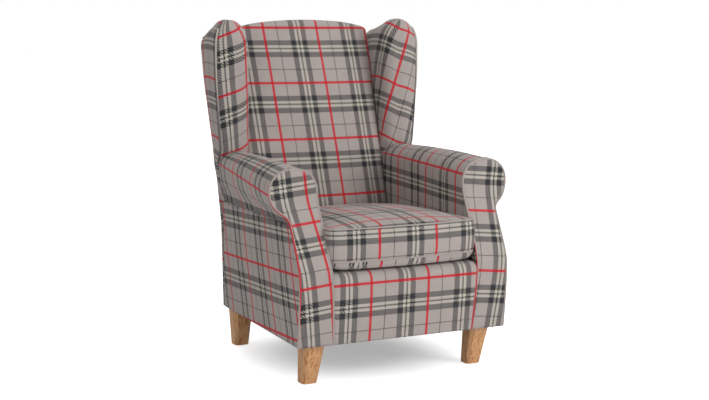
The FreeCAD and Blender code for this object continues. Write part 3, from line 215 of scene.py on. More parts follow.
class Patch:
    """A cut panel of cloth: a grid of points and where each lies on the flat cloth."""

    def __init__(self, points: Array, cloth: Array | None = None) -> None:
        """Keep the grid.

        Args:
            points: Rows by columns by three, in millimetres. Columns crossed with rows face out.
            cloth: Rows by columns by two, the place on the flat cloth in millimetres, or None
                where the cloth is laid later.
        """
        self.points = np.array(points, float)
        self.cloth = np.array(self.points[..., :2] * 0 if cloth is None else cloth, float)

    def lengths(self, axis: int) -> Array:
        """Return the distance of each point along the surface from the grid's first edge.

        Args:
            axis: 0 to measure up the columns, 1 to measure along the rows.

        Returns:
            The distances in millimetres, rows by columns.
        """
        steps = np.linalg.norm(np.diff(self.points, axis=axis), axis=2)
        start = np.zeros_like(np.take(steps, [0], axis=axis))
        return np.concatenate([start, np.cumsum(steps, axis=axis)], axis=axis)

    def normals(self) -> Array:
        """Return the direction that the cloth faces at each point.

        Returns:
            Unit vectors, rows by columns by three.
        """
        facing = np.cross(np.gradient(self.points, axis=1), np.gradient(self.points, axis=0))
        size = np.linalg.norm(facing, axis=2, keepdims=True)
        return facing / np.maximum(size, 1e-9)

    def seam_distance(self, seams: str) -> Array:
        """Return each point's distance from the nearest of the named edges.

        Args:
            seams: Any of the letters b, t, l and r, for the bottom, top, left and right edge.

        Returns:
            The distances in millimetres.
        """
        up, over = self.lengths(0), self.lengths(1)
        ways = {"b": up, "t": up[-1:] - up, "l": over, "r": over[:, -1:] - over}
        return np.min([ways[letter] for letter in seams], axis=0)

    def stuffed(self, seams: str, reach: float, depth: Array | float) -> "Patch":
        """Draw the edges down into their seams, as padding under tight cloth does.

        Args:
            seams: The edges that are sewn down.
            reach: How far from a seam the rounding starts.
            depth: How deep the seam lies, one value or one for each row.

        Returns:
            The patch itself.
        """
        near = 1 - np.clip(self.seam_distance(seams) / reach, 0, 1)
        self.points -= self.normals() * (depth * rounding(near))[..., None]
        return self

    def creased(self, amount: float, size: float, seams: str = "btlr") -> "Patch":
        """Let the cloth rise and fall a little between its seams.

        Args:
            amount: The greatest rise, in millimetres.
            size: The size of a swell.
            seams: The edges where the cloth lies still.

        Returns:
            The patch itself.
        """
        calm = np.clip(self.seam_distance(seams) / (size * 0.6), 0, 1)
        rise = np.array([[noise.noise(Vector(point) / size) for point in row]
                         for row in self.points])
        self.points += self.normals() * (amount * rise * calm)[..., None]
        return self

    def returned(self, depth: Array) -> "Patch":
        """Return the patch with a flap at both sides that turns straight back.

        Args:
            depth: How far the flaps reach at each row, rows by one, in millimetres.

        Returns:
            A patch with one more column at each side.
        """
        back = depth[..., None] * np.array([0, 1, 0])
        points = np.concatenate([self.points[:, :1] + back, self.points,
                                 self.points[:, -1:] + back], axis=1)
        over = depth[..., None] * np.array([1, 0])
        cloth = np.concatenate([self.cloth[:, :1] - over, self.cloth,
                                self.cloth[:, -1:] + over], axis=1)
        return Patch(points, cloth)

    def turned(self, degrees: float, shear: float = 0.0) -> "Patch":
        """Turn the flat cloth under the panel.

        Args:
            degrees: How far its threads turn, anticlockwise.
            shear: How far its upright threads lean more, per unit of height.

        Returns:
            The patch itself.
        """
        angle = math.radians(degrees)
        over, up = self.cloth[..., 0].copy(), self.cloth[..., 1].copy()
        self.cloth[..., 0] = over * math.cos(angle) + up * (math.sin(angle) + shear)
        self.cloth[..., 1] = up * math.cos(angle) - over * math.sin(angle)
        return self

    def mirrored(self, side: Side) -> "Patch":
        """Return the right-hand patch for one side of the chair.

        Args:
            side: The side that the panel is for.

        Returns:
            The patch itself on the right, and its mirror image on the left.
        """
        if side is Side.RIGHT:
            return self
        points = self.points[:, ::-1] * np.array([-1, 1, 1])
        cloth = self.cloth[:, ::-1] * np.array([-1, 1])
        return Patch(points, cloth)


def srgb(code: str) -> tuple[float, float, float, float]:
    """Turn a hex colour to the linear values that a shader takes.

    Args:
        code: A colour such as #AABBCC.

    Returns:
        Linear red, green, blue and an alpha of 1.
    """
    shares = [int(code[i:i + 2], 16) / 255 for i in (1, 3, 5)]
    linear = [c / 12.92 if c <= 0.04045 else ((c + 0.055) / 1.055) ** 2.4 for c in shares]
    return (*linear, 1.0)


def add_node(tree: bpy.types.NodeTree, kind: str, inputs: dict[int | str, Any] | None = None,
             **settings: Any) -> bpy.types.Node:
    """Add a node with its settings, values and links.

    Args:
        tree: The material's node tree.
        kind: The node's type.
        inputs: A value, or an output socket to link, for each input by name or number.
        settings: The node's own properties.

    Returns:
        The new node.
    """
    node = tree.nodes.new(kind)
    for name, value in settings.items():
        setattr(node, name, value)
    for key, value in (inputs or {}).items():
        if isinstance(value, bpy.types.NodeSocket):
            tree.links.new(value, node.inputs[key])
        else:
            node.inputs[key].default_value = value
    return node


def compute(tree: bpy.types.NodeTree, operation: str, *values: Any,
            **settings: Any) -> bpy.types.NodeSocket:
    """Add a node that computes one number.

    Args:
        tree: The material's node tree.
        operation: What it does, such as ADD.
        values: What it takes, each a number or an output socket.
        settings: The node's own properties.

    Returns:
        The socket of the result.
    """
    inputs = dict(enumerate(values))
    node = add_node(tree, "ShaderNodeMath", inputs, operation=operation, **settings)
    return node.outputs[0]


def set_ramp(node: bpy.types.Node, stops: list[tuple], stepped: bool = False) -> None:
    """Give a colour ramp its stops.

    Args:
        node: The colour ramp.
        stops: A place from 0 to 1, a hex colour and, where the ramp holds one, an alpha.
        stepped: Whether each colour holds until the next stop.
    """
    ramp = node.color_ramp
    ramp.interpolation = "CONSTANT" if stepped else "LINEAR"
    while len(ramp.elements) < len(stops):
        ramp.elements.new(1.0)
    for element, (place, colour, *alpha) in zip(ramp.elements, stops):
        element.position = place
        element.color = (*srgb(colour)[:3], *(alpha or [1.0]))


def new_material(name: str) -> tuple[bpy.types.Material, bpy.types.NodeTree, bpy.types.Node]:
    """Make a material that holds one Principled shader.

    Args:
        name: The material's name.

    Returns:
        The material, its node tree and the shader.
    """
    material = bpy.data.materials.new(name)
    material.use_nodes = True
    tree = material.node_tree
    tree.nodes.clear()
    shader = add_node(tree, "ShaderNodeBsdfPrincipled")
    add_node(tree, "ShaderNodeOutputMaterial", {"Surface": shader.outputs[0]})
    return material, tree, shader


def link(tree: bpy.types.NodeTree, shader: bpy.types.Node, **sockets: Any) -> None:
    """Link output sockets to the shader's inputs, which are named with an underscore for a space."""
    for name, socket in sockets.items():
        tree.links.new(socket, shader.inputs[name.replace("_", " ")])


@dataclass(frozen=True)
class TartanCloth:
    """Wool and cotton twill woven in a plain tartan of charcoal and red on warm grey.

    The cloth is matt with a faint bloom. Where a dark stripe crosses the ground, its twill
    lets half of each yarn show, so the stripe looks paler there than where two dark stripes
    cross. The twill's own ribs are under a millimetre apart: they are drawn rib_pitch apart,
    as coarse as they need to be to show. cover is how much a heavier yarn gains over a
    lighter one for its weight, relief how deep ribs and nap lie, and blur how far a stripe's
    edge frays, both in millimetres. The scales are in cells per millimetre of cloth.
    """

    name: str = "tartan_cloth"
    ground: str = "#A59C97"
    cream: str = "#BBB5A8"
    charcoal: str = "#2B2C30"
    red: str = "#BE1F2E"
    rib_pitch: float = 9
    cover: float = 1.6
    relief: float = 0.6
    blur: float = 0.45
    fray_scale: float = 0.35
    dye_scale: float = 0.018
    nap_scale: float = 1.3
    dye_range: tuple[float, float] = (0.95, 1.04)
    roughness: float = 0.92
    sheen: float = 0.1

    @property
    def sett(self) -> list[tuple[str, float, float]]:
        """The yarns in one repeat, each with its width in millimetres and its weight.

        A heavier yarn hides more of the one that it crosses.
        """
        dark, pale, plain = (self.charcoal, 0.6), (self.cream, 0.5), (self.ground, 0.5)
        yarns = ((dark, 17), (pale, 9), (dark, 5), (pale, 9), (dark, 17), (plain, 39),
                 ((self.red, 0.94), 8), (plain, 40), (dark, 3), (plain, 41))
        return [(colour, width, weight) for (colour, weight), width in yarns]

    @property
    def repeat(self) -> float:
        """The length of one repeat."""
        return sum(width for colour, width, weight in self.sett)

    @property
    def band(self) -> float:
        """The width of the dark band at the start of a repeat."""
        return sum(width for colour, width, weight in self.sett[:5])

    def stops(self) -> list[tuple[float, str, float]]:
        """Return where each yarn starts, as a share of the repeat.

        Returns:
            A place from 0 to 1, a hex colour and a weight for each yarn.
        """
        stops, start = [], 0.0
        for colour, width, weight in self.sett:
            stops.append((start / self.repeat, colour, weight))
            start += width
        return stops

    def yarn(self, tree: bpy.types.NodeTree, place: bpy.types.NodeSocket) -> bpy.types.Node:
        """Return the ramp of the yarns, with their weight as its alpha, along one direction.

        Args:
            tree: The material's node tree.
            place: The socket of the place along that direction.

        Returns:
            The ramp.
        """
        shifted = compute(tree, "ADD", place, self.band / 2)
        share = compute(tree, "FRACT", compute(tree, "DIVIDE", shifted, self.repeat))
        ramp = add_node(tree, "ShaderNodeValToRGB", {0: share})
        set_ramp(ramp, self.stops(), stepped=True)
        return ramp

    def material(self) -> bpy.types.Material:
        """Make the material.

        Returns:
            The cloth, which reads its place from the cloth map.
        """
        material, tree, shader = new_material(self.name)
        flat = add_node(tree, "ShaderNodeUVMap", uv_map=CLOTH_MAP)
        fuzz = add_node(tree, "ShaderNodeTexNoise",
                        {"Vector": flat.outputs[0], "Scale": self.fray_scale, "Detail": 2.0})
        centred = add_node(tree, "ShaderNodeVectorMath",
                           {0: fuzz.outputs["Color"], 1: (0.5, 0.5, 0.5)}, operation="SUBTRACT")
        spread = add_node(tree, "ShaderNodeVectorMath",
                          {0: centred.outputs[0], "Scale": 2 * self.blur}, operation="SCALE")
        frayed = add_node(tree, "ShaderNodeVectorMath",
                          {0: flat.outputs[0], 1: spread.outputs[0]}, operation="ADD")
        axes = add_node(tree, "ShaderNodeSeparateXYZ", {0: frayed.outputs[0]})
        warp, weft = self.yarn(tree, axes.outputs[0]), self.yarn(tree, axes.outputs[1])
        slant = compute(tree, "ADD", axes.outputs[0], axes.outputs[1])
        phase = compute(tree, "MULTIPLY", slant, 2 * math.pi / self.rib_pitch)
        rib = add_node(tree, "ShaderNodeMapRange",
                       {0: compute(tree, "SINE", phase), 1: -0.5, 2: 0.5, 3: 0.06, 4: 0.94})
        heavier = compute(tree, "SUBTRACT", weft.outputs["Alpha"], warp.outputs["Alpha"])
        shown = compute(tree, "MULTIPLY_ADD", heavier, self.cover, rib.outputs[0],
                        use_clamp=True)
        woven = add_node(tree, "ShaderNodeMix",
                         {0: shown, 6: warp.outputs["Color"], 7: weft.outputs["Color"]},
                         data_type="RGBA")
        dye = add_node(tree, "ShaderNodeTexNoise",
                       {"Vector": flat.outputs[0], "Scale": self.dye_scale, "Detail": 5.0,
                        "Roughness": 0.65})
        low, high = self.dye_range
        shade = add_node(tree, "ShaderNodeMapRange",
                         {0: dye.outputs[0], 1: 0.3, 2: 0.7, 3: low, 4: high})
        tinted = add_node(tree, "ShaderNodeVectorMath",
                          {0: woven.outputs[2], "Scale": shade.outputs[0]}, operation="SCALE")
        nap = add_node(tree, "ShaderNodeTexNoise",
                       {"Vector": flat.outputs[0], "Scale": self.nap_scale, "Detail": 3.0})
        relief = compute(tree, "ADD", rib.outputs[0], nap.outputs[0])
        bump = add_node(tree, "ShaderNodeBump",
                        {"Strength": 0.35, "Distance": self.relief * MM, "Height": relief})
        link(tree, shader, Base_Color=tinted.outputs[0], Normal=bump.outputs[0])
        shader.inputs["Roughness"].default_value = self.roughness
        shader.inputs["Sheen Weight"].default_value = self.sheen
        shader.inputs["Sheen Roughness"].default_value = 0.5
        shader.inputs["Specular IOR Level"].default_value = 0.25
        return material


@dataclass(frozen=True)
class Timber:
    """Sawn and planed wood whose grain runs along one axis.

    The early and late wood make long pale and dark streaks, with fine open pores between
    them. Oil leaves a low sheen. grain_width is about the width of a streak in millimetres,
    and squeeze its width as a share of its length.
    """

    name: str
    light: str
    dark: str
    pore: str
    grain_width: float
    roughness: float
    along: tuple[float, float, float] = (0, 0, 1)
    squeeze: float = 0.025

    def material(self) -> bpy.types.Material:
        """Make the material.

        Returns:
            The wood, streaked along its grain.
        """
        material, tree, shader = new_material(self.name)
        place = add_node(tree, "ShaderNodeTexCoord")
        across = 1 / (self.grain_width * MM)
        scale = tuple(across * (self.squeeze if axis else 1.0) for axis in self.along)
        streaked = add_node(tree, "ShaderNodeMapping",
                            {"Vector": place.outputs["Object"], "Scale": scale})
        grain = add_node(tree, "ShaderNodeTexNoise",
                         {"Vector": streaked.outputs[0], "Scale": 0.55, "Detail": 2.0})
        ramp = add_node(tree, "ShaderNodeValToRGB", {0: grain.outputs[0]})
        set_ramp(ramp, [(0.34, self.dark), (0.47, self.light), (0.55, self.light),
                        (0.66, self.dark)])
        pores = add_node(tree, "ShaderNodeTexNoise",
                         {"Vector": streaked.outputs[0], "Scale": 2.2, "Detail": 1.0})
        open_pore = add_node(tree, "ShaderNodeMapRange",
                             {0: pores.outputs[0], 1: 0.60, 2: 0.72, 3: 0.0, 4: 0.4})
        mixed = add_node(tree, "ShaderNodeMix",
                         {0: open_pore.outputs[0], 6: ramp.outputs[0], 7: srgb(self.pore)},
                         data_type="RGBA")
        bump = add_node(tree, "ShaderNodeBump",
                        {"Strength": 0.25, "Distance": 0.0003, "Height": pores.outputs[0]})
        link(tree, shader, Base_Color=mixed.outputs[2], Normal=bump.outputs[0])
        shader.inputs["Roughness"].default_value = self.roughness
        return material


@dataclass(frozen=True)
class Plain:
    """A finish of one colour with a fine grain of its own, such as foam, felt or plated steel.

    grain_size is the size of its cells, fibres or marks, and depth is how deep they lie.
    """

    name: str
    light: str
    dark: str
    grain_size: float
    depth: float
    roughness: float
    metallic: float = 0.0
    woven: bool = False

    def material(self) -> bpy.types.Material:
        """Make the material.

        Returns:
            The finish, grained by noise, or by crossed threads where it is woven.
        """
        material, tree, shader = new_material(self.name)
        place = add_node(tree, "ShaderNodeTexCoord")
        scale = 1 / (self.grain_size * MM)
        if self.woven:
            ways = [add_node(tree, "ShaderNodeTexWave",
                             {"Vector": place.outputs["Object"], "Scale": scale / 20,
                              "Distortion": 1.5, "Detail Scale": 2.0},
                             bands_direction=axis) for axis in ("X", "Z")]
            grain = compute(tree, "MULTIPLY", ways[0].outputs["Fac"], ways[1].outputs["Fac"])
        else:
            cells = {"Vector": place.outputs["Object"], "Scale": scale, "Detail": 3.0}
            grain = add_node(tree, "ShaderNodeTexNoise", cells).outputs[0]
        ramp = add_node(tree, "ShaderNodeValToRGB", {0: grain})
        set_ramp(ramp, [(0.3, self.dark), (0.7, self.light)])
        bump = add_node(tree, "ShaderNodeBump",
                        {"Strength": 0.4, "Distance": self.depth * MM, "Height": grain})
        link(tree, shader, Base_Color=ramp.outputs[0], Normal=bump.outputs[0])
        shader.inputs["Roughness"].default_value = self.roughness
        shader.inputs["Metallic"].default_value = self.metallic
        return material


def make_piece(name: str, patches: list[Patch], material: bpy.types.Material,
               wall: float = 0.0) -> bpy.types.Object:
    """Sew patches into one object.

    Args:
        name: The object's name.
        patches: The panels, whose edges join where they meet exactly.
        material: The finish.
        wall: The thickness that is added inwards, in millimetres, or 0 for a closed form.

    Returns:
        The new object, in metres.
    """
    points, faces, flats, start = [], [], [], 0
    for patch in patches:
        rows, columns = patch.points.shape[:2]
        points.append(patch.points.reshape(-1, 3))
        flat = patch.cloth.reshape(-1, 2)
        corner = np.arange((rows - 1) * columns).reshape(rows - 1, columns)[:, :-1].ravel()
        quads = np.stack([corner, corner + 1, corner + columns + 1, corner + columns], axis=1)
        faces.append(quads + start)
        flats.append(flat[quads.ravel()])
        start += rows * columns
    mesh = bpy.data.meshes.new(name)
    mesh.from_pydata((np.concatenate(points) * MM).tolist(), [], np.concatenate(faces).tolist())
    layer = mesh.uv_layers.new(name=CLOTH_MAP)
    layer.data.foreach_set("uv", np.concatenate(flats).astype(np.float32).ravel())
    sewn = bmesh.new()
    sewn.from_mesh(mesh)
    bmesh.ops.remove_doubles(sewn, verts=sewn.verts, dist=SEWN_GAP)
    bmesh.ops.dissolve_degenerate(sewn, edges=sewn.edges, dist=TINY_EDGE)
    sewn.to_mesh(mesh)
    sewn.free()
    mesh.shade_smooth()
    mesh.materials.append(material)
    piece = bpy.data.objects.new(name, mesh)
    bpy.context.scene.collection.objects.link(piece)
    if wall:
        thicken = piece.modifiers.new("wall", "SOLIDIFY")
        thicken.thickness = wall * MM
        thicken.offset = -1
    return piece


def cord_patch(path: Array, radius: float, start: float, drift: float = 0.03,
               sides: int = 12) -> Patch:
    """Wrap a strip of cloth round a cord.

    Args:
        path: The cord's middle line, points by three, in millimetres.
        radius: The cord's radius with its cloth.
        start: Where on the flat cloth the strip was cut.
        drift: How far the strip wanders across the cloth, per unit of its length.
        sides: Sides of the round section.

    Returns:
        The closed tube's surface.
    """
    path = np.asarray(path, float)
    along = np.gradient(path, axis=0)
    along /= np.linalg.norm(along, axis=1, keepdims=True)
    length = np.concatenate([[0], np.cumsum(np.linalg.norm(np.diff(path, axis=0), axis=1))])
    first = np.cross(along[0], OFF_EVERY_SEAM)
    frames = []
    for direction in along:
        first = first - direction * np.dot(first, direction)
        first = first / np.linalg.norm(first)
        frames.append((first, np.cross(direction, first)))
    turns = np.linspace(0, 2 * math.pi, sides + 1)
    points = np.array([[p + radius * (math.cos(a) * u + math.sin(a) * v) for a in turns]
                       for p, (u, v) in zip(path, frames)])
    over = start + drift * length[:, None] + radius * turns[None]
    return Patch(points, grid(over, STRIP_PLACE + STRIP_SLANT * length[:, None]))


def smooth_path(points: Array, step: float = 5.0) -> Array:
    """Space points evenly along a line and take its corners off.

    Args:
        points: The line's points in millimetres.
        step: The new spacing.

    Returns:
        The new points.
    """
    points = np.asarray(points, float)
    length = np.concatenate([[0], np.cumsum(np.linalg.norm(np.diff(points, axis=0), axis=1))])
    places = np.linspace(0, length[-1], max(8, int(length[-1] / step)))
    even = np.stack([np.interp(places, length, points[:, axis]) for axis in range(3)], axis=1)
    for _ in range(2):
        even[1:-1] = (even[:-2] + 2 * even[1:-1] + even[2:]) / 4
    return even


@dataclass
class Panels:
    """What every upholstered piece shares: its cloth and how it is fixed to the frame."""

    cloth: bpy.types.Material
    cord_cloth: bpy.types.Material
    wall: float = 5.0
    cord_radius: float = 3.2

    def fit(self, piece: bpy.types.Object, *nodes: str, body: str = "root",
            slot: str = "tartan_cloth", fill: float | None = 0.85) -> None:
        """Fix a piece to the frame in place of the nodes that it dresses.

        Args:
            piece: The object.
            nodes: The nodes that it stands for.
            body: The body that it moves with.
            slot: The material slot that its finish comes from; not used.
            fill: How full its padding is, or None for a piece with no padding; not used.
        """
        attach(piece, body)
        if nodes:
            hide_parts(*nodes)
        LOG.info("%s: %d faces", piece.name, len(piece.data.polygons))

    def cord(self, name: str, path: Array, start: float) -> None:
        """Make a piece of piping along a seam, which stands for no node of its own.

        Args:
            name: The object's name.
            path: The seam, in millimetres.
            start: Where on the cloth the strip was cut.
        """
        patch = cord_patch(smooth_path(path), self.cord_radius, start)
        piece = make_piece(name, [patch], self.cord_cloth)
        self.fit(piece, slot="tartan_piping", fill=None)


@dataclass
class InsideBack(Panels):
    """The inside back with its crown, its arched top and its roll over the top rail."""

    crown: float = 26
    bulge: float = 6
    top: float = 1048
    arch: float = 27
    low: float = 342
    roll_set: float = 6
    side_gap: float = 0.6
    side_return: float = 34
    rear_room: float = 10
    lean_of_cloth: float = 0.041
    fall_of_cloth: float = 0.012
    draw_heights: tuple[float, float] = (780, 960)
    draw_depths: tuple[float, float] = (13, 2.5)
    draw_reach: float = 26
    arch_power: float = 2.4
    corner_fall: float = 5
    corner_share: float = 0.9
    shoulder_share: float = 0.62
    rear_reach: float = 30
    face_rows: int = 64
    roll_rows: int = 20
    rear_rows: int = 5
    columns: int = 61
    band_x: float = -14

    def profile(self, share: float) -> Array:
        """Return the side view at a share of the half width.

        Args:
            share: From -1 at the left side to 1 at the right side.

        Returns:
            Points of place and height, from the seat over the top to the outside back.
        """
        crown = self.crown * share * share
        corner = (abs(share) - self.corner_share) / (1 - self.corner_share)
        top = (self.top - self.arch * abs(share) ** self.arch_power
               - self.corner_fall * rounding(corner))
        near = top - self.arch / 2
        thick = CHAIR.rear_face(near) - self.roll_set - CHAIR.inside_back(near) - crown
        shoulder = top - self.shoulder_share * thick
        height = np.linspace(self.low, shoulder, self.face_rows)
        swell = self.bulge * np.sin(math.pi * np.clip(
            (height - CHAIR.back_face_height) / (self.top - CHAIR.back_face_height), 0, 1))
        face = CHAIR.inside_back(height) + crown - swell
        front, rear = face[-1], CHAIR.rear_face(shoulder) - self.roll_set
        turn = np.linspace(0, math.pi, self.roll_rows)[1:]
        roll_y = (front + rear) / 2 - (rear - front) / 2 * np.cos(turn)
        roll_z = shoulder + (top - shoulder) * np.sin(turn)
        down = np.linspace(shoulder, shoulder - self.rear_reach, self.rear_rows)[1:]
        return np.concatenate([
            np.stack([face, height], axis=1),
            np.stack([roll_y, roll_z], axis=1),
            np.stack([CHAIR.rear_face(down) - self.roll_set, down], axis=1)])

    def make(self) -> None:
        """Make the panel and fit it."""
        shares = 2 * eased(self.columns) - 1
        x = shares * (CHAIR.seat_half - self.side_gap)
        sides = np.array([self.profile(share) for share in shares]).transpose(1, 0, 2)
        patch = Patch(grid(x, sides[..., 0], sides[..., 1]))
        up = patch.lengths(0)
        face, middle = slice(self.face_rows), self.columns // 2
        level = np.interp(CHAIR.back_band, sides[face, middle, 1], up[face, middle])
        patch.cloth[..., 0] = x - self.band_x + self.lean_of_cloth * (up - level)
        patch.cloth[..., 1] = up - level + self.fall_of_cloth * x
        draw = np.interp(patch.points[:, :1, 2], self.draw_heights, self.draw_depths)
        patch.stuffed("lr", reach=self.draw_reach, depth=draw).creased(2.0, size=130, seams="lr")
        edge = patch.points[:, :1]
        room = CHAIR.rear_face(edge[..., 2]) - self.rear_room - edge[..., 1]
        patch = patch.returned(np.clip(room, 0, self.side_return))
        piece = make_piece("inside_back", [patch], self.cloth, self.wall)
        self.fit(piece, "inside_back_cover", "back_pad", fill=0.8)


@dataclass
class Wing(Panels):
    """A wing: its padded face, its outside panel down behind the arm, and its rear.

    A value named round is how far an edge draws in as the top rounds over, one named flare how
    far an edge leaves its line near the foot, and one named set how far a part is set off from
    its neighbour. The places and bands of the face, the outside and the rear say where a dark
    band of the cloth lies, along and up that panel. Pairs hold the left wing's value first.
    """

    low: float = 643.5
    tuck: float = 60
    tuck_lean: float = 0.6
    side_tuck: float = 55
    foot_swell: float = 6
    top: float = 1050
    rear_drop: float = 38
    outer_drop: float = 0.3
    drop_start: float = 900
    drop_place: float = 285
    seam_half: float = 356
    rear_half: float = 346
    front_place: float = 208
    corner: float = 40
    lip: float = 14
    swell: float = 9
    dome: float = 85
    inner_round: float = 62
    front_round: float = 34
    outer_round: float = 50
    side_round: float = 38
    rear_round: float = 14
    front_flare: float = 4
    seam_flare: float = 14
    side_flare: float = 13
    wall_gap: float = 0.4
    wall_lean: float = 3.5
    rear_set: float = 2.4
    rear_top: float = 1000
    hinge_reach: float = 60
    corner_share: float = 0.45
    hinge_share: float = 0.9
    lip_power: float = 1.6
    full_width: float = 60
    side_swell: float = 3
    ridge_set: float = 14
    ridge_rise: float = 1
    foot_rows: int = 12
    foot_set: float = 1
    foot_play: float = 0.5
    face_places: tuple[float, float] = (190, 45)
    face_leans: tuple[float, float] = (-0.05, -0.26)
    face_band: float = 790
    outside_place: float = -10
    outside_band: float = 800
    rear_place: float = 30
    piping_start: float = -24
    piping_set: tuple[float, float, float] = (0.8, -0.8, 0.6)
    droop: float = 0.4
    droop_start: float = 85
    droop_blend: float = 30
    face_rows: int = 34
    dome_rows: int = 16

    def heights(self, low: float) -> Array:
        """Return the heights of the rows, crowded where the top rounds over.

        Args:
            low: The height of the first row.

        Returns:
            The heights in rising order.
        """
        straight = np.linspace(low, self.top - self.dome, self.face_rows, endpoint=False)
        turn = np.linspace(0, math.pi / 2, self.dome_rows)
        return np.concatenate([straight, self.top - self.dome + self.dome * np.sin(turn)])

    def edges(self, height: float) -> dict[str, float]:
        """Return where the faces of the wing lie at a height.

        Args:
            height: From the arm's top to the wing's top.

        Returns:
            The inner face, the front, the outer seam, the rear corner and the rear.
        """
        share = (height - self.low) / (self.top - self.low)
        over = (height - self.top + self.dome) / self.dome
        flare = Profile((0, 1), (0.3, 0.42), (0.62, 0), (1, 0)).at(share)
        turn = rounding(over)
        inner = CHAIR.seat_half + self.wall_gap + self.inner_round * turn
        rear = float(CHAIR.rear_face(min(height, self.rear_top))) - self.rear_set
        return {
            "inner": float(inner),
            "front": float(self.front_place + self.front_flare * flare + self.front_round * turn
                           + self.tuck_lean * max(0.0, self.low - height)),
            "seam": float(self.seam_half - self.seam_flare * flare - self.outer_round * turn),
            "side": float(self.rear_half - self.side_flare * flare - self.side_round * turn),
            "rear": rear - float(self.rear_round * turn),
        }

    def face_row(self, height: float) -> Array:
        """Return the padded face at a height, from the inside back to the outer seam.

        Args:
            height: The row's height.

        Returns:
            Points of x and y in millimetres.
        """
        at = self.edges(height)
        inner, front, seam = at["inner"] - self.wall_lean, at["front"], at["seam"]
        hinge = min(float(CHAIR.inside_back(height)) + self.hinge_reach, at["rear"])
        corner = min(self.corner, (seam - inner) * self.corner_share,
                     (hinge - front) * self.hinge_share)
        wall = np.stack([np.linspace(at["inner"], inner, 12),
                         np.linspace(hinge, front + corner, 12)], axis=1)
        turn = np.linspace(0, math.pi / 2, 13)[1:]
        bend = np.stack([inner + corner * (1 - np.cos(turn)),
                         front + corner * (1 - np.sin(turn))], axis=1)
        share = np.linspace(0, 1, 17)[1:]
        width = seam - inner - corner
        across = inner + corner + share * width
        pull = self.swell * np.sin(math.pi * share) * min(1.0, width / self.full_width)
        face = np.stack([across, front + self.lip * share ** self.lip_power - pull], axis=1)
        return np.concatenate([wall, bend, face])

    def outside_row(self, height: float) -> Array:
        """Return the outside panel at a height, from the outer seam to the rear corner.

        Args:
            height: The row's height.

        Returns:
            Points of x and y in millimetres.
        """
        at = self.edges(height)
        share = np.linspace(0, 1, 14)
        swell = self.side_swell * np.sin(math.pi * share)
        x = at["seam"] + (at["side"] - at["seam"]) * share + swell
        y = at["front"] + self.lip + (at["rear"] - at["front"] - self.lip) * share
        return np.stack([x, y], axis=1)

    def rear_row(self, height: float) -> Array:
        """Return the wing's rear at a height, from the outer corner to the inside back.

        Args:
            height: The row's height.

        Returns:
            Points of x and y in millimetres.
        """
        at = self.edges(height)
        share = np.linspace(0, 1, 8)
        x = at["side"] + (at["inner"] - at["side"]) * share
        return np.stack([x, np.full(8, at["rear"])], axis=1)

    def patch(self, row: Callable[[float], Array], low: float) -> Patch:
        """Stack the rows of one panel and close its top on the wing's ridge.

        Args:
            row: Gives the panel's points of x and y at a height.
            low: The height of the first row.

        Returns:
            The panel, whose top slopes down to the rear.
        """
        heights = self.heights(low)
        rows = [np.column_stack([row(h), np.full(len(row(h)), h)]) for h in heights]
        at = self.edges(self.top)
        ridge = rows[-1].copy()
        ridge[:, 0] = (at["inner"] + at["seam"]) / 2
        ridge[:, 1] = np.clip(ridge[:, 1], at["front"] + self.ridge_set, at["rear"] - self.ridge_set)
        ridge[:, 2] += self.ridge_rise
        points = np.array(rows + [ridge])
        rise = np.clip((points[..., 2] - self.drop_start) / (self.top - self.drop_start), 0, 1)
        back = np.clip((points[..., 1] - self.drop_place) / (at["rear"] - self.drop_place), 0, 1)
        fall = self.rear_drop + self.outer_drop * (points[..., 0] - at["inner"])
        points[..., 2] -= fall * back * rise ** 2
        return Patch(points)

    def lay_cloth(self, patch: Patch, band_u: float, band_z: float, lean: float = 0.0,
                  droop: float = 0.0) -> Patch:
        """Lay the flat cloth over a panel.

        Args:
            patch: The panel.
            band_u: How far along the panel's middle row a dark band is centred.
            band_z: The height of the middle of a dark band.
            lean: How far the upright threads lean, per unit of height.
            droop: How far the level threads fall, per unit of width past the inner edge.

        Returns:
            The patch itself.
        """
        middle = self.face_rows // 2
        over = patch.lengths(1)[middle][None]
        past = np.maximum(0, over - self.droop_start)
        up = patch.lengths(0) - (band_z - patch.points[0, 0, 2])
        up = up + droop * past ** 2 / (past + self.droop_blend)
        patch.cloth = grid(over - band_u, up)
        return patch.turned(0, lean)

    def foot(self) -> Patch:
        """Return the strip of the outside panel that stands behind the arm's roll.

        Returns:
            The strip, whose last row lies on the outside panel's first.
        """
        low = CHAIR.neck_rear
        rows = []
        top = self.low - self.side_tuck
        first = self.outside_row(top)
        rearward = np.linspace(0, 1, len(first))
        for share in np.linspace(0, 1, self.foot_rows):
            height = low + share * (top - low)
            half = CHAIR.half_rear - self.foot_set
            half = half + share * (first[:, 0] - half)
            half = half + self.foot_swell * math.sin(math.pi * share) * (1 - rearward ** 2)
            start = first[0, 1] if share == 1 else CHAIR.arm_rear + self.foot_play
            rear = float(CHAIR.rear_face(height)) - self.rear_set
            place = np.linspace(start, rear, len(first))
            rows.append(np.column_stack([half, place, np.full(len(first), height)]))
        points = np.array(rows)
        return Patch(points, points[..., 1:])

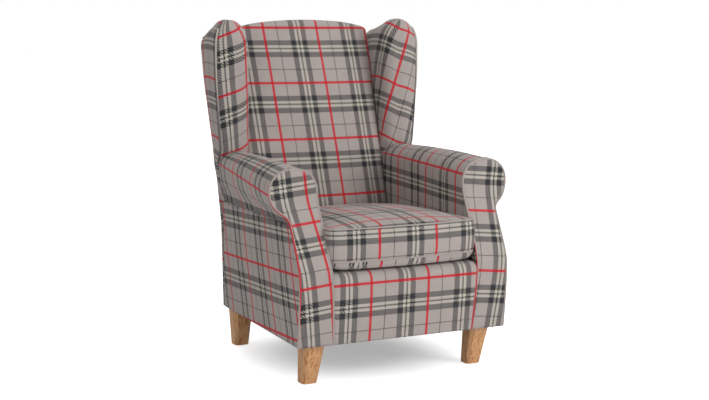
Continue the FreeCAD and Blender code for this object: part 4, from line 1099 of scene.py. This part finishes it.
    def make(self, side: Side) -> None:
        """Make one wing with its piping and fit them.

        Args:
            side: The side of the chair.
        """
        face = self.patch(self.face_row, self.low - self.tuck)
        face = self.lay_cloth(face, side.pick(self.face_places), self.face_band,
                              side.pick(self.face_leans), self.droop)
        outside = self.patch(self.outside_row, self.low - self.side_tuck)
        outside = self.lay_cloth(outside, self.outside_place, self.outside_band)
        rear = self.patch(self.rear_row, self.low)
        rear = self.lay_cloth(rear, self.rear_place, CHAIR.back_band)
        turn = self.face_rows + self.dome_rows // 2
        seam, over = outside.points[:turn, 0], outside.points[turn - 1, 1:]
        run = np.concatenate([seam, over]) + np.array(self.piping_set)
        face.creased(2.2, size=90, seams="r")
        word = side.word
        patches = [p.mirrored(side) for p in (face, outside, rear, self.foot())]
        piece = make_piece(f"{word}_wing", patches, self.cloth)
        self.fit(piece, f"{word}_wing_cover", f"{word}_wing_pad", f"{word}_wing_foot", fill=0.85)
        self.cord(f"{word}_wing_piping", run * np.array([side.value, 1, 1]), self.piping_start)


@dataclass
class Arm(Panels):
    """An arm: the cloth that wraps its roll, its facing and its outside panel.

    A band is where a dark band of the cloth lies on a panel, and a start is where on the flat
    cloth a strip was cut. Pairs named bands or starts hold the left arm's value first.
    """

    low: float = 312
    seam_play: float = 3.0
    end_swell: float = 7
    facing_rounding: float = 13
    facing_depth: float = 6
    facing_turn: float = -6
    facing_top_set: float = 0.05
    crown: float = 9
    crown_reach: float = 83
    outside_turn: float = -3
    outside_lean: float = -0.22
    outside_swell: float = 2.5
    outside_band: tuple[float, float] = (-93, 252)
    neck_start: float = -300
    wrap_start: float = 16
    wrap_bands: tuple[float, float] = (250, 227)
    facing_band: float = 312
    piping_starts: tuple[float, float] = (57, 30)
    piping_set: float = 3.4
    wall_rows: int = 16
    roll_rows: int = 49
    neck_rows: int = 9
    facing_rows: int = 96
    facing_columns: int = 30

    def section(self, radius: float, half: float, stretch: float = 1.0) -> Array:
        """Return the wrap's section, from its inside foot over the roll to its neck.

        Args:
            radius: The roll's radius.
            half: Half the chair's width under the roll.
            stretch: How much taller than round the roll's lower half is.

        Returns:
            Points of x and height.
        """
        centre_x, centre_z = CHAIR.seat_half + radius, CHAIR.arm_height - radius
        angle = CHAIR.roll_angle(radius, half)
        wall_z = np.linspace(self.low, centre_z, self.wall_rows)
        wall = np.stack([np.full(self.wall_rows, CHAIR.seat_half), wall_z], axis=1)
        turn = np.linspace(math.pi, -angle, self.roll_rows)[1:]
        roll = np.stack([centre_x + radius * np.cos(turn), centre_z + radius * np.sin(turn)],
                        axis=1)
        back = np.linspace(angle, 0, self.neck_rows)[1:]
        neck_x = half + CHAIR.neck_radius
        neck_z = CHAIR.neck_height(radius, half)
        neck = np.stack([neck_x - CHAIR.neck_radius * np.cos(back),
                         neck_z + CHAIR.neck_radius * np.sin(back)], axis=1)
        outer = np.concatenate([roll, neck])
        outer[:, 1] += (stretch - 1) * np.minimum(0, outer[:, 1] - centre_z)
        return np.concatenate([wall, outer])

    def crowned(self, points: Array) -> Array:
        """Lower the roll's top towards its two ends, so that it is highest in its middle.

        Args:
            points: Points of the arm, in millimetres.

        Returns:
            The moved points.
        """
        first, foot = CHAIR.front.values[-1], CHAIR.arm_height - self.crown_reach
        along = np.clip((points[..., 1] - first) / (CHAIR.arm_rear - first), 0, 1)
        high = np.clip((points[..., 2] - foot) / self.crown_reach, 0, 1)
        fall = self.crown * (1 - 4 * along * (1 - along)) * high ** 2
        return points - fall[..., None] * np.array([0, 0, 1])

    def rear_section(self) -> Array:
        """Return the wrap's section at its rear end."""
        return self.section(CHAIR.roll_radius_rear, CHAIR.half_rear, CHAIR.roll_stretch_rear)

    def wrap(self, band: float) -> Patch:
        """Return the cloth of the right arm's wrap, from the wing to the facing.

        Args:
            band: How far up from the wrap's foot the middle of a dark band lies.

        Returns:
            The panel.
        """
        front = self.section(CHAIR.scroll_radius, CHAIR.half_front)
        rear = self.rear_section()
        shares = eased(42, first=False)
        start = CHAIR.front.at(front[:, 1]) + self.seam_play
        flat = front[:, None] + (rear - front)[:, None] * (1 - shares)[None, :, None]
        place = CHAIR.arm_rear + (start[:, None] - CHAIR.arm_rear) * shares[None]
        patch = Patch(self.crowned(grid(flat[..., 0], place, flat[..., 1])))
        patch.cloth = grid(self.wrap_start - place, patch.lengths(0)[:, -1:] - band)
        return patch.stuffed("rt", reach=9, depth=3.5).creased(1.6, size=100, seams="rt")

    def end(self) -> Patch:
        """Return the rounded rear end of the roll.

        Returns:
            The right arm's panel, from the roll's edge to its middle.
        """
        edge = self.rear_section()[self.wall_rows - 2:]
        centre = np.array([CHAIR.seat_half + CHAIR.roll_radius_rear,
                           CHAIR.arm_height - CHAIR.roll_radius_rear])
        shares = eased(8, last=False)[:, None, None]
        flat = edge[None] * (1 - shares) + centre * shares
        swell = self.end_swell * np.sqrt(1 - (1 - shares[..., 0]) ** 2)
        points = self.crowned(grid(flat[..., 0], CHAIR.arm_rear + swell, flat[..., 1]))
        return Patch(points[:, ::-1], flat[:, ::-1])

    def facing_edges(self, height: Array) -> tuple[Array, Array]:
        """Return the inner and outer edge of the facing at each height.

        Args:
            height: The heights in millimetres.

        Returns:
            The x of the inner edge and of the outer edge.
        """
        radius = CHAIR.scroll_radius
        centre_x, centre_z = CHAIR.seat_half + radius, CHAIR.arm_height - radius
        neck_z = CHAIR.neck_height(radius, CHAIR.half_front)
        join_z = centre_z - radius * math.sin(CHAIR.roll_angle(radius, CHAIR.half_front))
        inner = np.interp(height, (CHAIR.hem, CHAIR.facing_flare),
                          (CHAIR.facing_inner_low, CHAIR.seat_half))
        arc = np.sqrt(np.maximum(0, radius ** 2 - (height - centre_z) ** 2))
        inner = np.where(height > centre_z, centre_x - arc, inner)
        hollow = np.sqrt(np.maximum(0, CHAIR.neck_radius ** 2 - (height - neck_z) ** 2))
        outer = np.where(height > join_z, centre_x + arc,
                         CHAIR.half_front + CHAIR.neck_radius - hollow)
        return inner, np.where(height < neck_z, CHAIR.half_front, outer)

    def facing_outline(self, count: int = 150) -> Array:
        """Return the facing's edge from its outer hem over the scroll to its inner hem.

        Args:
            count: At how many heights the edge is read.

        Returns:
            Points of the edge in millimetres.
        """
        height = CHAIR.hem + (CHAIR.arm_height - CHAIR.hem) * eased(count, first=False)
        inner, outer = self.facing_edges(height)
        up = np.stack([outer, CHAIR.front.at(height), height], axis=1)
        down = np.stack([inner, CHAIR.front.at(height), height], axis=1)[::-1]
        return np.concatenate([up, down[1:]])

    def facing(self) -> Patch:
        """Return the padded facing in front of the right arm.

        Returns:
            The panel.
        """
        top = CHAIR.arm_height - self.facing_top_set
        height = CHAIR.hem + (top - CHAIR.hem) * eased(self.facing_rows, first=False)
        inner, outer = self.facing_edges(height)
        shares = eased(self.facing_columns)
        x = inner[:, None] + (outer - inner)[:, None] * shares[None]
        outline = self.facing_outline(240)
        points = grid(x, CHAIR.front.at(height)[:, None], height[:, None])
        gaps = points[:, :, None, [0, 2]] - outline[None, None, :, [0, 2]]
        distance = np.min(np.linalg.norm(gaps, axis=3), axis=2)
        near = 1 - np.clip(distance / self.facing_rounding, 0, 1)
        points[..., 1] += self.facing_depth * rounding(near)
        patch = Patch(self.crowned(points))
        up = patch.lengths(0)[:, self.facing_columns // 2, None]
        patch.cloth = grid(x - self.facing_band, up - CHAIR.hem_band)
        return patch.turned(self.facing_turn)

    def outside(self) -> Patch:
        """Return the outside panel of the right arm, from the facing to the outside back.

        Returns:
            The panel.
        """
        rear_neck, front_neck = CHAIR.neck_rear, CHAIR.neck_front
        shares = np.linspace(0, 1, 34)
        up = np.linspace(0, 1, 36)[:, None]
        start = CHAIR.front.at(CHAIR.hem + up * (front_neck - CHAIR.hem)) + self.seam_play
        rear = CHAIR.rear_face(CHAIR.hem + up * (rear_neck - CHAIR.hem))
        y = start + (rear - start) * shares[None]
        top = np.interp(y, (self.neck_start, CHAIR.arm_rear), (front_neck, rear_neck))
        z = CHAIR.hem + up * (top - CHAIR.hem)
        swell = self.outside_swell * np.sin(math.pi * shares)[None] * np.sin(math.pi * up)
        patch = Patch(grid(CHAIR.outer_half(y) + swell, y, z))
        patch.cloth = patch.points[..., 1:] - np.array(self.outside_band)
        patch.turned(self.outside_turn, self.outside_lean)
        return patch.stuffed("lrt", reach=10, depth=4).creased(1.5, size=140, seams="btlr")

    def make(self, side: Side) -> None:
        """Make one arm's pieces and fit them.

        Args:
            side: The side of the chair.
        """
        word = side.word
        wrap = self.wrap(side.pick(self.wrap_bands))
        panels = (("arm", (wrap, self.end()), ("arm_cover", "arm_pad")),
                  ("facing", (self.facing(),), ("facing_cover", "facing_pad")),
                  ("outside_arm", (self.outside(),),
                   ("outside_arm_panel", "outside_arm_wadding")))
        for name, patches, nodes in panels:
            patches = [patch.mirrored(side) for patch in patches]
            piece = make_piece(f"{word}_{name}", patches, self.cloth, self.wall)
            self.fit(piece, *(f"{word}_{node}" for node in nodes), fill=0.9)
        run = self.crowned(self.facing_outline()) + np.array([0, self.piping_set, 0])
        self.cord(f"{word}_facing_piping", run * np.array([side.value, 1, 1]),
                  side.pick(self.piping_starts))


@dataclass
class OutsideBack(Panels):
    """The panel that closes the back of the chair."""

    top: float = 1000
    shoulder_half: float = 345
    waist_half: float = 331
    shoulder_height: float = 892
    corner: float = 36
    swell: float = 4

    def make(self) -> None:
        """Make the panel and fit it."""
        half = Profile((CHAIR.hem, CHAIR.half_rear), (CHAIR.arm_height, self.waist_half),
                       (self.shoulder_height, self.shoulder_half), (self.top, self.shoulder_half))
        height = CHAIR.hem + (self.top - CHAIR.hem) * eased(60, first=False)
        over = (height - self.top + self.corner) / self.corner
        reach = half.at(height) - self.corner * rounding(over)
        shares = 1 - 2 * eased(60)
        x, z = reach[:, None] * shares[None], height[:, None]
        up = (z - CHAIR.hem) / (self.top - CHAIR.hem)
        swell = self.swell * (1 - shares ** 4)[None] * np.sin(math.pi * up)
        points = grid(x, CHAIR.rear_face(z) + swell, z)
        patch = Patch(points, grid(-x, z - CHAIR.back_band)).stuffed("lrt", reach=9, depth=3.5)
        piece = make_piece("outside_back", [patch], self.cloth, self.wall)
        self.fit(piece, "outside_back_panel", fill=None)


@dataclass
class FrontBorder(Panels):
    """The border under the cushion, with its rounded top edge."""

    top: float = 337
    turn: float = 26
    tuck: float = 46
    play: float = 0.8

    def make(self) -> None:
        """Make the border and fit it."""
        rise = np.linspace(CHAIR.hem, self.top - self.turn, 30)
        angle = np.linspace(0, math.pi / 2, 12)[1:]
        knee = float(CHAIR.front.at(self.top - self.turn))
        y = np.concatenate([CHAIR.front.at(rise), knee + self.turn * (1 - np.cos(angle)),
                            knee + self.turn + np.linspace(0, self.tuck - self.turn, 6)[1:]])
        z = np.concatenate([rise, self.top - self.turn + self.turn * np.sin(angle),
                            np.full(5, self.top)])
        half = np.interp(z, (CHAIR.hem, CHAIR.facing_flare),
                         (CHAIR.facing_inner_low, CHAIR.seat_half)) - self.play
        shares = 2 * eased(56) - 1
        x = half[:, None] * shares[None]
        patch = Patch(grid(x, y[:, None], z[:, None]))
        patch.cloth = grid(x, patch.lengths(0) - CHAIR.hem_band)
        patch.stuffed("lr", reach=10, depth=5).creased(1.4, size=110, seams="lr")
        piece = make_piece("front_border", [patch], self.cloth, self.wall)
        self.fit(piece, "front_border_cover", "front_border_pad", fill=0.9)


@dataclass
class SeatCushion(Panels):
    """The loose cushion: crowned top, full underside and a boxing between two piped seams.

    top_form and under_form hold how squarely a lid fills its corners and how softly it leaves
    its seams. The lip is the part of the underside that hangs lower along the front.
    """

    half: float = 240
    front: float = -392
    bow: float = 19
    rear: float = 166
    corner: float = 22
    low_seam: float = 368
    high_seam: float = 464
    rear_fall: float = 24
    crown: float = 28
    belly: float = 30
    front_droop: float = 8
    boxing_swell: float = 6
    boxing_power: float = 0.6
    boxing_rows: int = 15
    front_room: float = 4
    count: int = 59
    top_form: tuple[float, float] = (2.4, 0.62)
    under_form: tuple[float, float] = (14, 0.5)
    lip_place: float = 7
    lip_width: float = 9
    thin_cord: float = 2.2
    cord_start: float = 45
    cord_swell: float = 0.004
    cord_centre: tuple[float, float] = (0, -110)
    band_x: float = 33
    band_y: float = -410
    under_band_y: float = -430
    band_z: float = 446
    side_room: float = 0.8

    def front_line(self, x: Array) -> Array:
        """Return the front seam's place at each x, with its bow and its rounded corners."""
        past = np.clip((np.abs(x) - self.half + self.corner) / self.corner, 0, 1)
        return self.front + self.bow * (x / self.half) ** 2 + self.corner * rounding(past)

    def high_line(self, y: Array) -> Array:
        """Return the height of the upper seam, which falls towards the back."""
        return self.high_seam - self.rear_fall * (y - self.front) / (self.rear - self.front)

    def lid(self, top: bool) -> Patch:
        """Return the top or the underside.

        Args:
            top: Whether it is the crowned top, and not the underside, which is flatter and
                curls up to its seam.

        Returns:
            The panel.
        """
        across, back = 2 * eased(self.count) - 1, eased(self.count)
        x = np.broadcast_to(across * self.half, (self.count, self.count))
        start = self.front_line(x)
        y = start + (self.rear - start) * back[:, None]
        deep = 2 * back[:, None] - 1
        power, bend = self.top_form if top else self.under_form
        full = ((1 - np.abs(across[None]) ** power) * (1 - np.abs(deep) ** power)) ** bend
        if top:
            z = self.high_line(y) + self.crown * full
        else:
            past = (y - start - self.lip_place) / self.lip_width
            lip = self.front_droop * np.exp(-past ** 2)
            z = self.low_seam - (self.belly + lip) * full
        points = grid(x, y, z)
        cloth = grid(x - self.band_x, y - (self.band_y if top else self.under_band_y))
        if not top:
            return Patch(points[:, ::-1], cloth[:, ::-1])
        return Patch(points, cloth).creased(1.8, size=120)

    def outline(self) -> Array:
        """Return the seams' plan from the back's left corner round the front to its right one.

        Returns:
            Points of x and y in millimetres.
        """
        x = (2 * eased(self.count) - 1) * self.half
        front = np.stack([x, self.front_line(x)], axis=1)
        side_y = front[0, 1] + (self.rear - front[0, 1]) * eased(self.count)
        right = np.stack([np.full(self.count, self.half), side_y], axis=1)
        left = right[::-1] * np.array([-1, 1])
        return np.concatenate([left[:-1], front, right[1:]])

    def boxing(self, plan: Array, start: float) -> Patch:
        """Return a strip of the boxing along a plan line.

        Args:
            plan: Points of x and y.
            start: Where along the cloth the strip starts.

        Returns:
            The strip, swollen between its seams.
        """
        up = np.linspace(0, 1, self.boxing_rows)[:, None]
        along = np.gradient(plan, axis=0)
        out = np.stack([along[:, 1], -along[:, 0]], axis=1)
        out /= np.linalg.norm(out, axis=1, keepdims=True)
        bulge = self.boxing_swell * np.sin(math.pi * up) ** self.boxing_power
        x, y = (plan[None, :, axis] + bulge * out[None, :, axis] for axis in (0, 1))
        z = self.low_seam + (self.high_line(plan[None, :, 1]) - self.low_seam) * up
        limit = np.where(y > CHAIR.front.at(z) - self.front_room,
                         CHAIR.seat_half - self.side_room, np.inf)
        patch = Patch(grid(np.clip(x, -limit, limit), y, z))
        along_cloth = patch.lengths(1)[None, self.boxing_rows // 2] + start
        patch.cloth = grid(along_cloth, z - self.band_z)
        return patch

    def make(self) -> None:
        """Make the cushion with its piping and fit them."""
        plan = self.outline()
        length = np.sum(np.linalg.norm(np.diff(plan, axis=0), axis=1))
        strip = self.boxing(plan, -length / 2 - self.band_x)
        closing = np.stack([self.half * (2 * eased(self.count)[::-1] - 1),
                            np.full(self.count, self.rear)], axis=1)
        patches = [self.lid(True), self.lid(False), strip, self.boxing(closing, 0)]
        piece = make_piece("loose_cushion", patches, self.cloth)
        self.fit(piece, "cushion_cover", "cushion_core", body="seat_cushion", fill=0.9)
        seams = []
        low = np.full(len(plan), self.low_seam)
        for seam in (self.high_line(plan[:, 1]), low):
            run = np.column_stack([plan, seam])
            run[:, :2] += (plan - np.array(self.cord_centre)) * self.cord_swell
            seams.append(cord_patch(smooth_path(run), self.thin_cord, self.cord_start, drift=0.0))
        piece = make_piece("cushion_seam_piping", seams, self.cord_cloth)
        self.fit(piece, "cushion_piping", body="seat_cushion", slot="tartan_piping", fill=None)


@dataclass(frozen=True)
class FrameFinishes:
    """The finishes of the pieces that keep the frame's own shapes."""

    def paint(self, node: str, material: bpy.types.Material, slot: str) -> None:
        """Give a node of the frame its finish.

        Args:
            node: The node's name.
            material: Its finish.
            slot: The material slot that the finish stands for; not used.
        """
        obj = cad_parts[node]
        obj.data.materials.clear()
        obj.data.materials.append(material)

    def make(self) -> None:
        """Dress every node that still shows."""
        rails = ("front_seat_rail", "back_seat_rail", "corner_blocks", "back_top_rail",
                 "back_lower_rail")
        sides = both("seat_rail", "back_post", "arm_post", "arm_rail", "tack_rail", "wing_board")
        legs = tuple(f"{end}_{side.word}_leg" for end in ("front", "rear") for side in Side)
        finishes = (
            (Timber("oiled_oak", "#D2A172", "#B27745", "#7A4B24", grain_width=5, roughness=0.42),
             "oiled_oak", legs),
            (Timber("beech", "#CDAA7D", "#B8905F", "#8A6238", grain_width=3, roughness=0.6,
                    along=(1, 0, 0)),
             "frame_timber", rails + sides),
            (Plain("seat_foam", "#E4DCC0", "#CFC5A4", grain_size=1.2, depth=0.4, roughness=0.95),
             "foam", ("deck_pad",)),
            (Plain("spring_steel", "#6F6B66", "#57534F", grain_size=6, depth=0.05, roughness=0.38,
                   metallic=1),
             "spring_steel", ("seat_springs",)),
            (Plain("zinc_plate", "#B9BDC2", "#9A9EA4", grain_size=4, depth=0.05, roughness=0.3,
                   metallic=1),
             "plated_steel", ("spring_clips", "leg_bolts", "tee_nuts")),
            (Plain("jute_webbing", "#A58A5E", "#7A6138", grain_size=2.4, depth=0.5,
                   roughness=0.95, woven=True),
             "jute_webbing", ("back_webbing",)),
            (Plain("deck_cotton", "#8F8A82", "#7C776F", grain_size=1.6, depth=0.2,
                   roughness=0.95, woven=True),
             "deck_lining", ("deck_cloth",)),
            (Plain("dust_lining", "#2B2B2C", "#1F1F20", grain_size=0.8, depth=0.1,
                   roughness=0.95),
             "dust_lining", ("dust_cloth",)),
            (Plain("wool_felt", "#5B5A58", "#464544", grain_size=0.7, depth=0.3, roughness=1),
             "felt", ("leg_glides",)),
            (Plain("zip_tape", "#8B857D", "#77716A", grain_size=0.9, depth=0.2, roughness=0.9,
                   woven=True),
             "zip_tape", ("cushion_zip",)),
            (Plain("nickel_plate", "#A8A49C", "#918D86", grain_size=3, depth=0.03,
                   roughness=0.28, metallic=1),
             "zip_metal", ("zip_slider",)),
        )
        for finish, slot, nodes in finishes:
            material = finish.material()
            for node in nodes:
                self.paint(node, material, slot)
            LOG.info("%s on %d nodes", material.name, len(nodes))


@dataclass
class Studio:
    """A white floor with a painted glow, soft lights and the camera."""

    target: tuple[float, float, float] = (-0.0008, -0.040, 0.4944)
    distance: float = 4.5247
    azimuth: float = -25.97
    elevation: float = 7.90
    lens: float = 73.62
    sky: float = 0.40
    # The floor's painted glow: its strength near the chair, and the distances over which it rises to
    # white.
    shade_lift: float = 0.34
    shade_reach: tuple[float, float] = (0.12, 0.56)
    lamp_target: tuple[float, float, float] = (0, 0, 0.5)
    floor_half: float = 12
    floor_white: str = "#F2F2F2"

    def camera(self) -> None:
        """Place the camera at the photograph's angle."""
        data = bpy.data.cameras.new("camera")
        data.lens = self.lens
        camera = bpy.data.objects.new("camera", data)
        bpy.context.scene.collection.objects.link(camera)
        turn, lift = math.radians(self.azimuth), math.radians(self.elevation)
        back = Vector((math.sin(turn) * math.cos(lift), -math.cos(turn) * math.cos(lift),
                       math.sin(lift)))
        camera.location = Vector(self.target) + back * self.distance
        camera.rotation_euler = back.to_track_quat("Z", "Y").to_euler()
        bpy.context.scene.camera = camera

    def lamp(self, name: str, place: tuple[float, float, float], size: float,
             watts: float) -> None:
        """Add a square soft light that faces the chair.

        Args:
            name: The light's name.
            place: Where it stands, in metres.
            size: The length of its side.
            watts: Its power.
        """
        data = bpy.data.lights.new(name, "AREA")
        data.energy = watts
        data.size = size
        lamp = bpy.data.objects.new(name, data)
        lamp.location = place
        direction = Vector(place) - Vector(self.lamp_target)
        lamp.rotation_euler = direction.to_track_quat("Z", "Y").to_euler()
        bpy.context.scene.collection.objects.link(lamp)

    def world(self) -> None:
        """Light the chair from all round, and show white behind it."""
        world = bpy.data.worlds.new("studio")
        bpy.context.scene.world = world
        world.use_nodes = True
        tree = world.node_tree
        tree.nodes.clear()
        path = add_node(tree, "ShaderNodeLightPath")
        seen = path.outputs["Is Camera Ray"]
        for ray in ("Is Glossy Ray", "Is Transmission Ray"):
            seen = compute(tree, "MAXIMUM", seen, path.outputs[ray])
        dim = add_node(tree, "ShaderNodeBackground", {"Strength": self.sky})
        white = add_node(tree, "ShaderNodeBackground", {"Strength": 1.0})
        for node in (dim, white):
            node.inputs["Color"].default_value = (1, 1, 1, 1)
        mix = add_node(tree, "ShaderNodeMixShader",
                       {0: seen, 1: dim.outputs[0], 2: white.outputs[0]})
        add_node(tree, "ShaderNodeOutputWorld", {"Surface": mix.outputs[0]})

    def floor(self) -> None:
        """Lay a white floor that keeps the chair's shadow, under a painted glow that only the camera
        sees, dimmed near the chair so that the shadow shows only there.
        """
        half = self.floor_half
        mesh = bpy.data.meshes.new("floor")
        corners = [(-half, -half, 0), (half, -half, 0), (half, half, 0), (-half, half, 0)]
        mesh.from_pydata(corners, [], [(0, 1, 2, 3)])
        floor = bpy.data.objects.new("floor", mesh)
        bpy.context.scene.collection.objects.link(floor)
        material = bpy.data.materials.new("white_floor")
        material.use_nodes = True
        tree = material.node_tree
        tree.nodes.clear()
        paint = add_node(tree, "ShaderNodeBsdfDiffuse", {"Color": srgb(self.floor_white)})
        path = add_node(tree, "ShaderNodeLightPath")
        place = add_node(tree, "ShaderNodeTexCoord")
        away = add_node(tree, "ShaderNodeVectorMath", {0: place.outputs["Object"]},
                        operation="LENGTH")
        near, far = self.shade_reach
        # Painted light: the floor glows for the camera, weakly near the chair so that its shadow
        # shows, and white further out.
        white = add_node(tree, "ShaderNodeMapRange",
                         {0: away.outputs["Value"], 1: near, 2: far, 3: self.shade_lift, 4: 1.0},
                         interpolation_type="SMOOTHSTEP")
        lift = compute(tree, "MULTIPLY", path.outputs["Is Camera Ray"], white.outputs[0])
        glow = add_node(tree, "ShaderNodeEmission", {"Strength": lift})
        both = add_node(tree, "ShaderNodeAddShader", {0: paint.outputs[0], 1: glow.outputs[0]})
        add_node(tree, "ShaderNodeOutputMaterial", {"Surface": both.outputs[0]})
        mesh.materials.append(material)

    def make(self) -> None:
        """Set up the view."""
        self.camera()
        self.world()
        self.floor()
        self.lamp("key", (2.2, -4.2, 2.0), size=2.8, watts=136)
        self.lamp("fill", (-3.4, -2.2, 2.2), size=2.6, watts=26)
        self.lamp("top", (0.2, 0.2, 3.6), size=3.2, watts=30)
        bpy.context.scene.view_settings.view_transform = "Standard"


def main() -> None:
    """Build the chair and its studio in order."""
    logging.basicConfig(level=logging.INFO, format="%(name)s %(message)s")
    Studio().make()
    cloth = TartanCloth().material()
    cord_cloth = TartanCloth(name="tartan_piping", rib_pitch=3.0).material()
    InsideBack(cloth, cord_cloth).make()
    OutsideBack(cloth, cord_cloth).make()
    FrontBorder(cloth, cord_cloth).make()
    for side in Side:
        Wing(cloth, cord_cloth).make(side)
        Arm(cloth, cord_cloth).make(side)
    SeatCushion(cloth, cord_cloth).make()
    FrameFinishes().make()


if __name__ == "__main__":
    main()
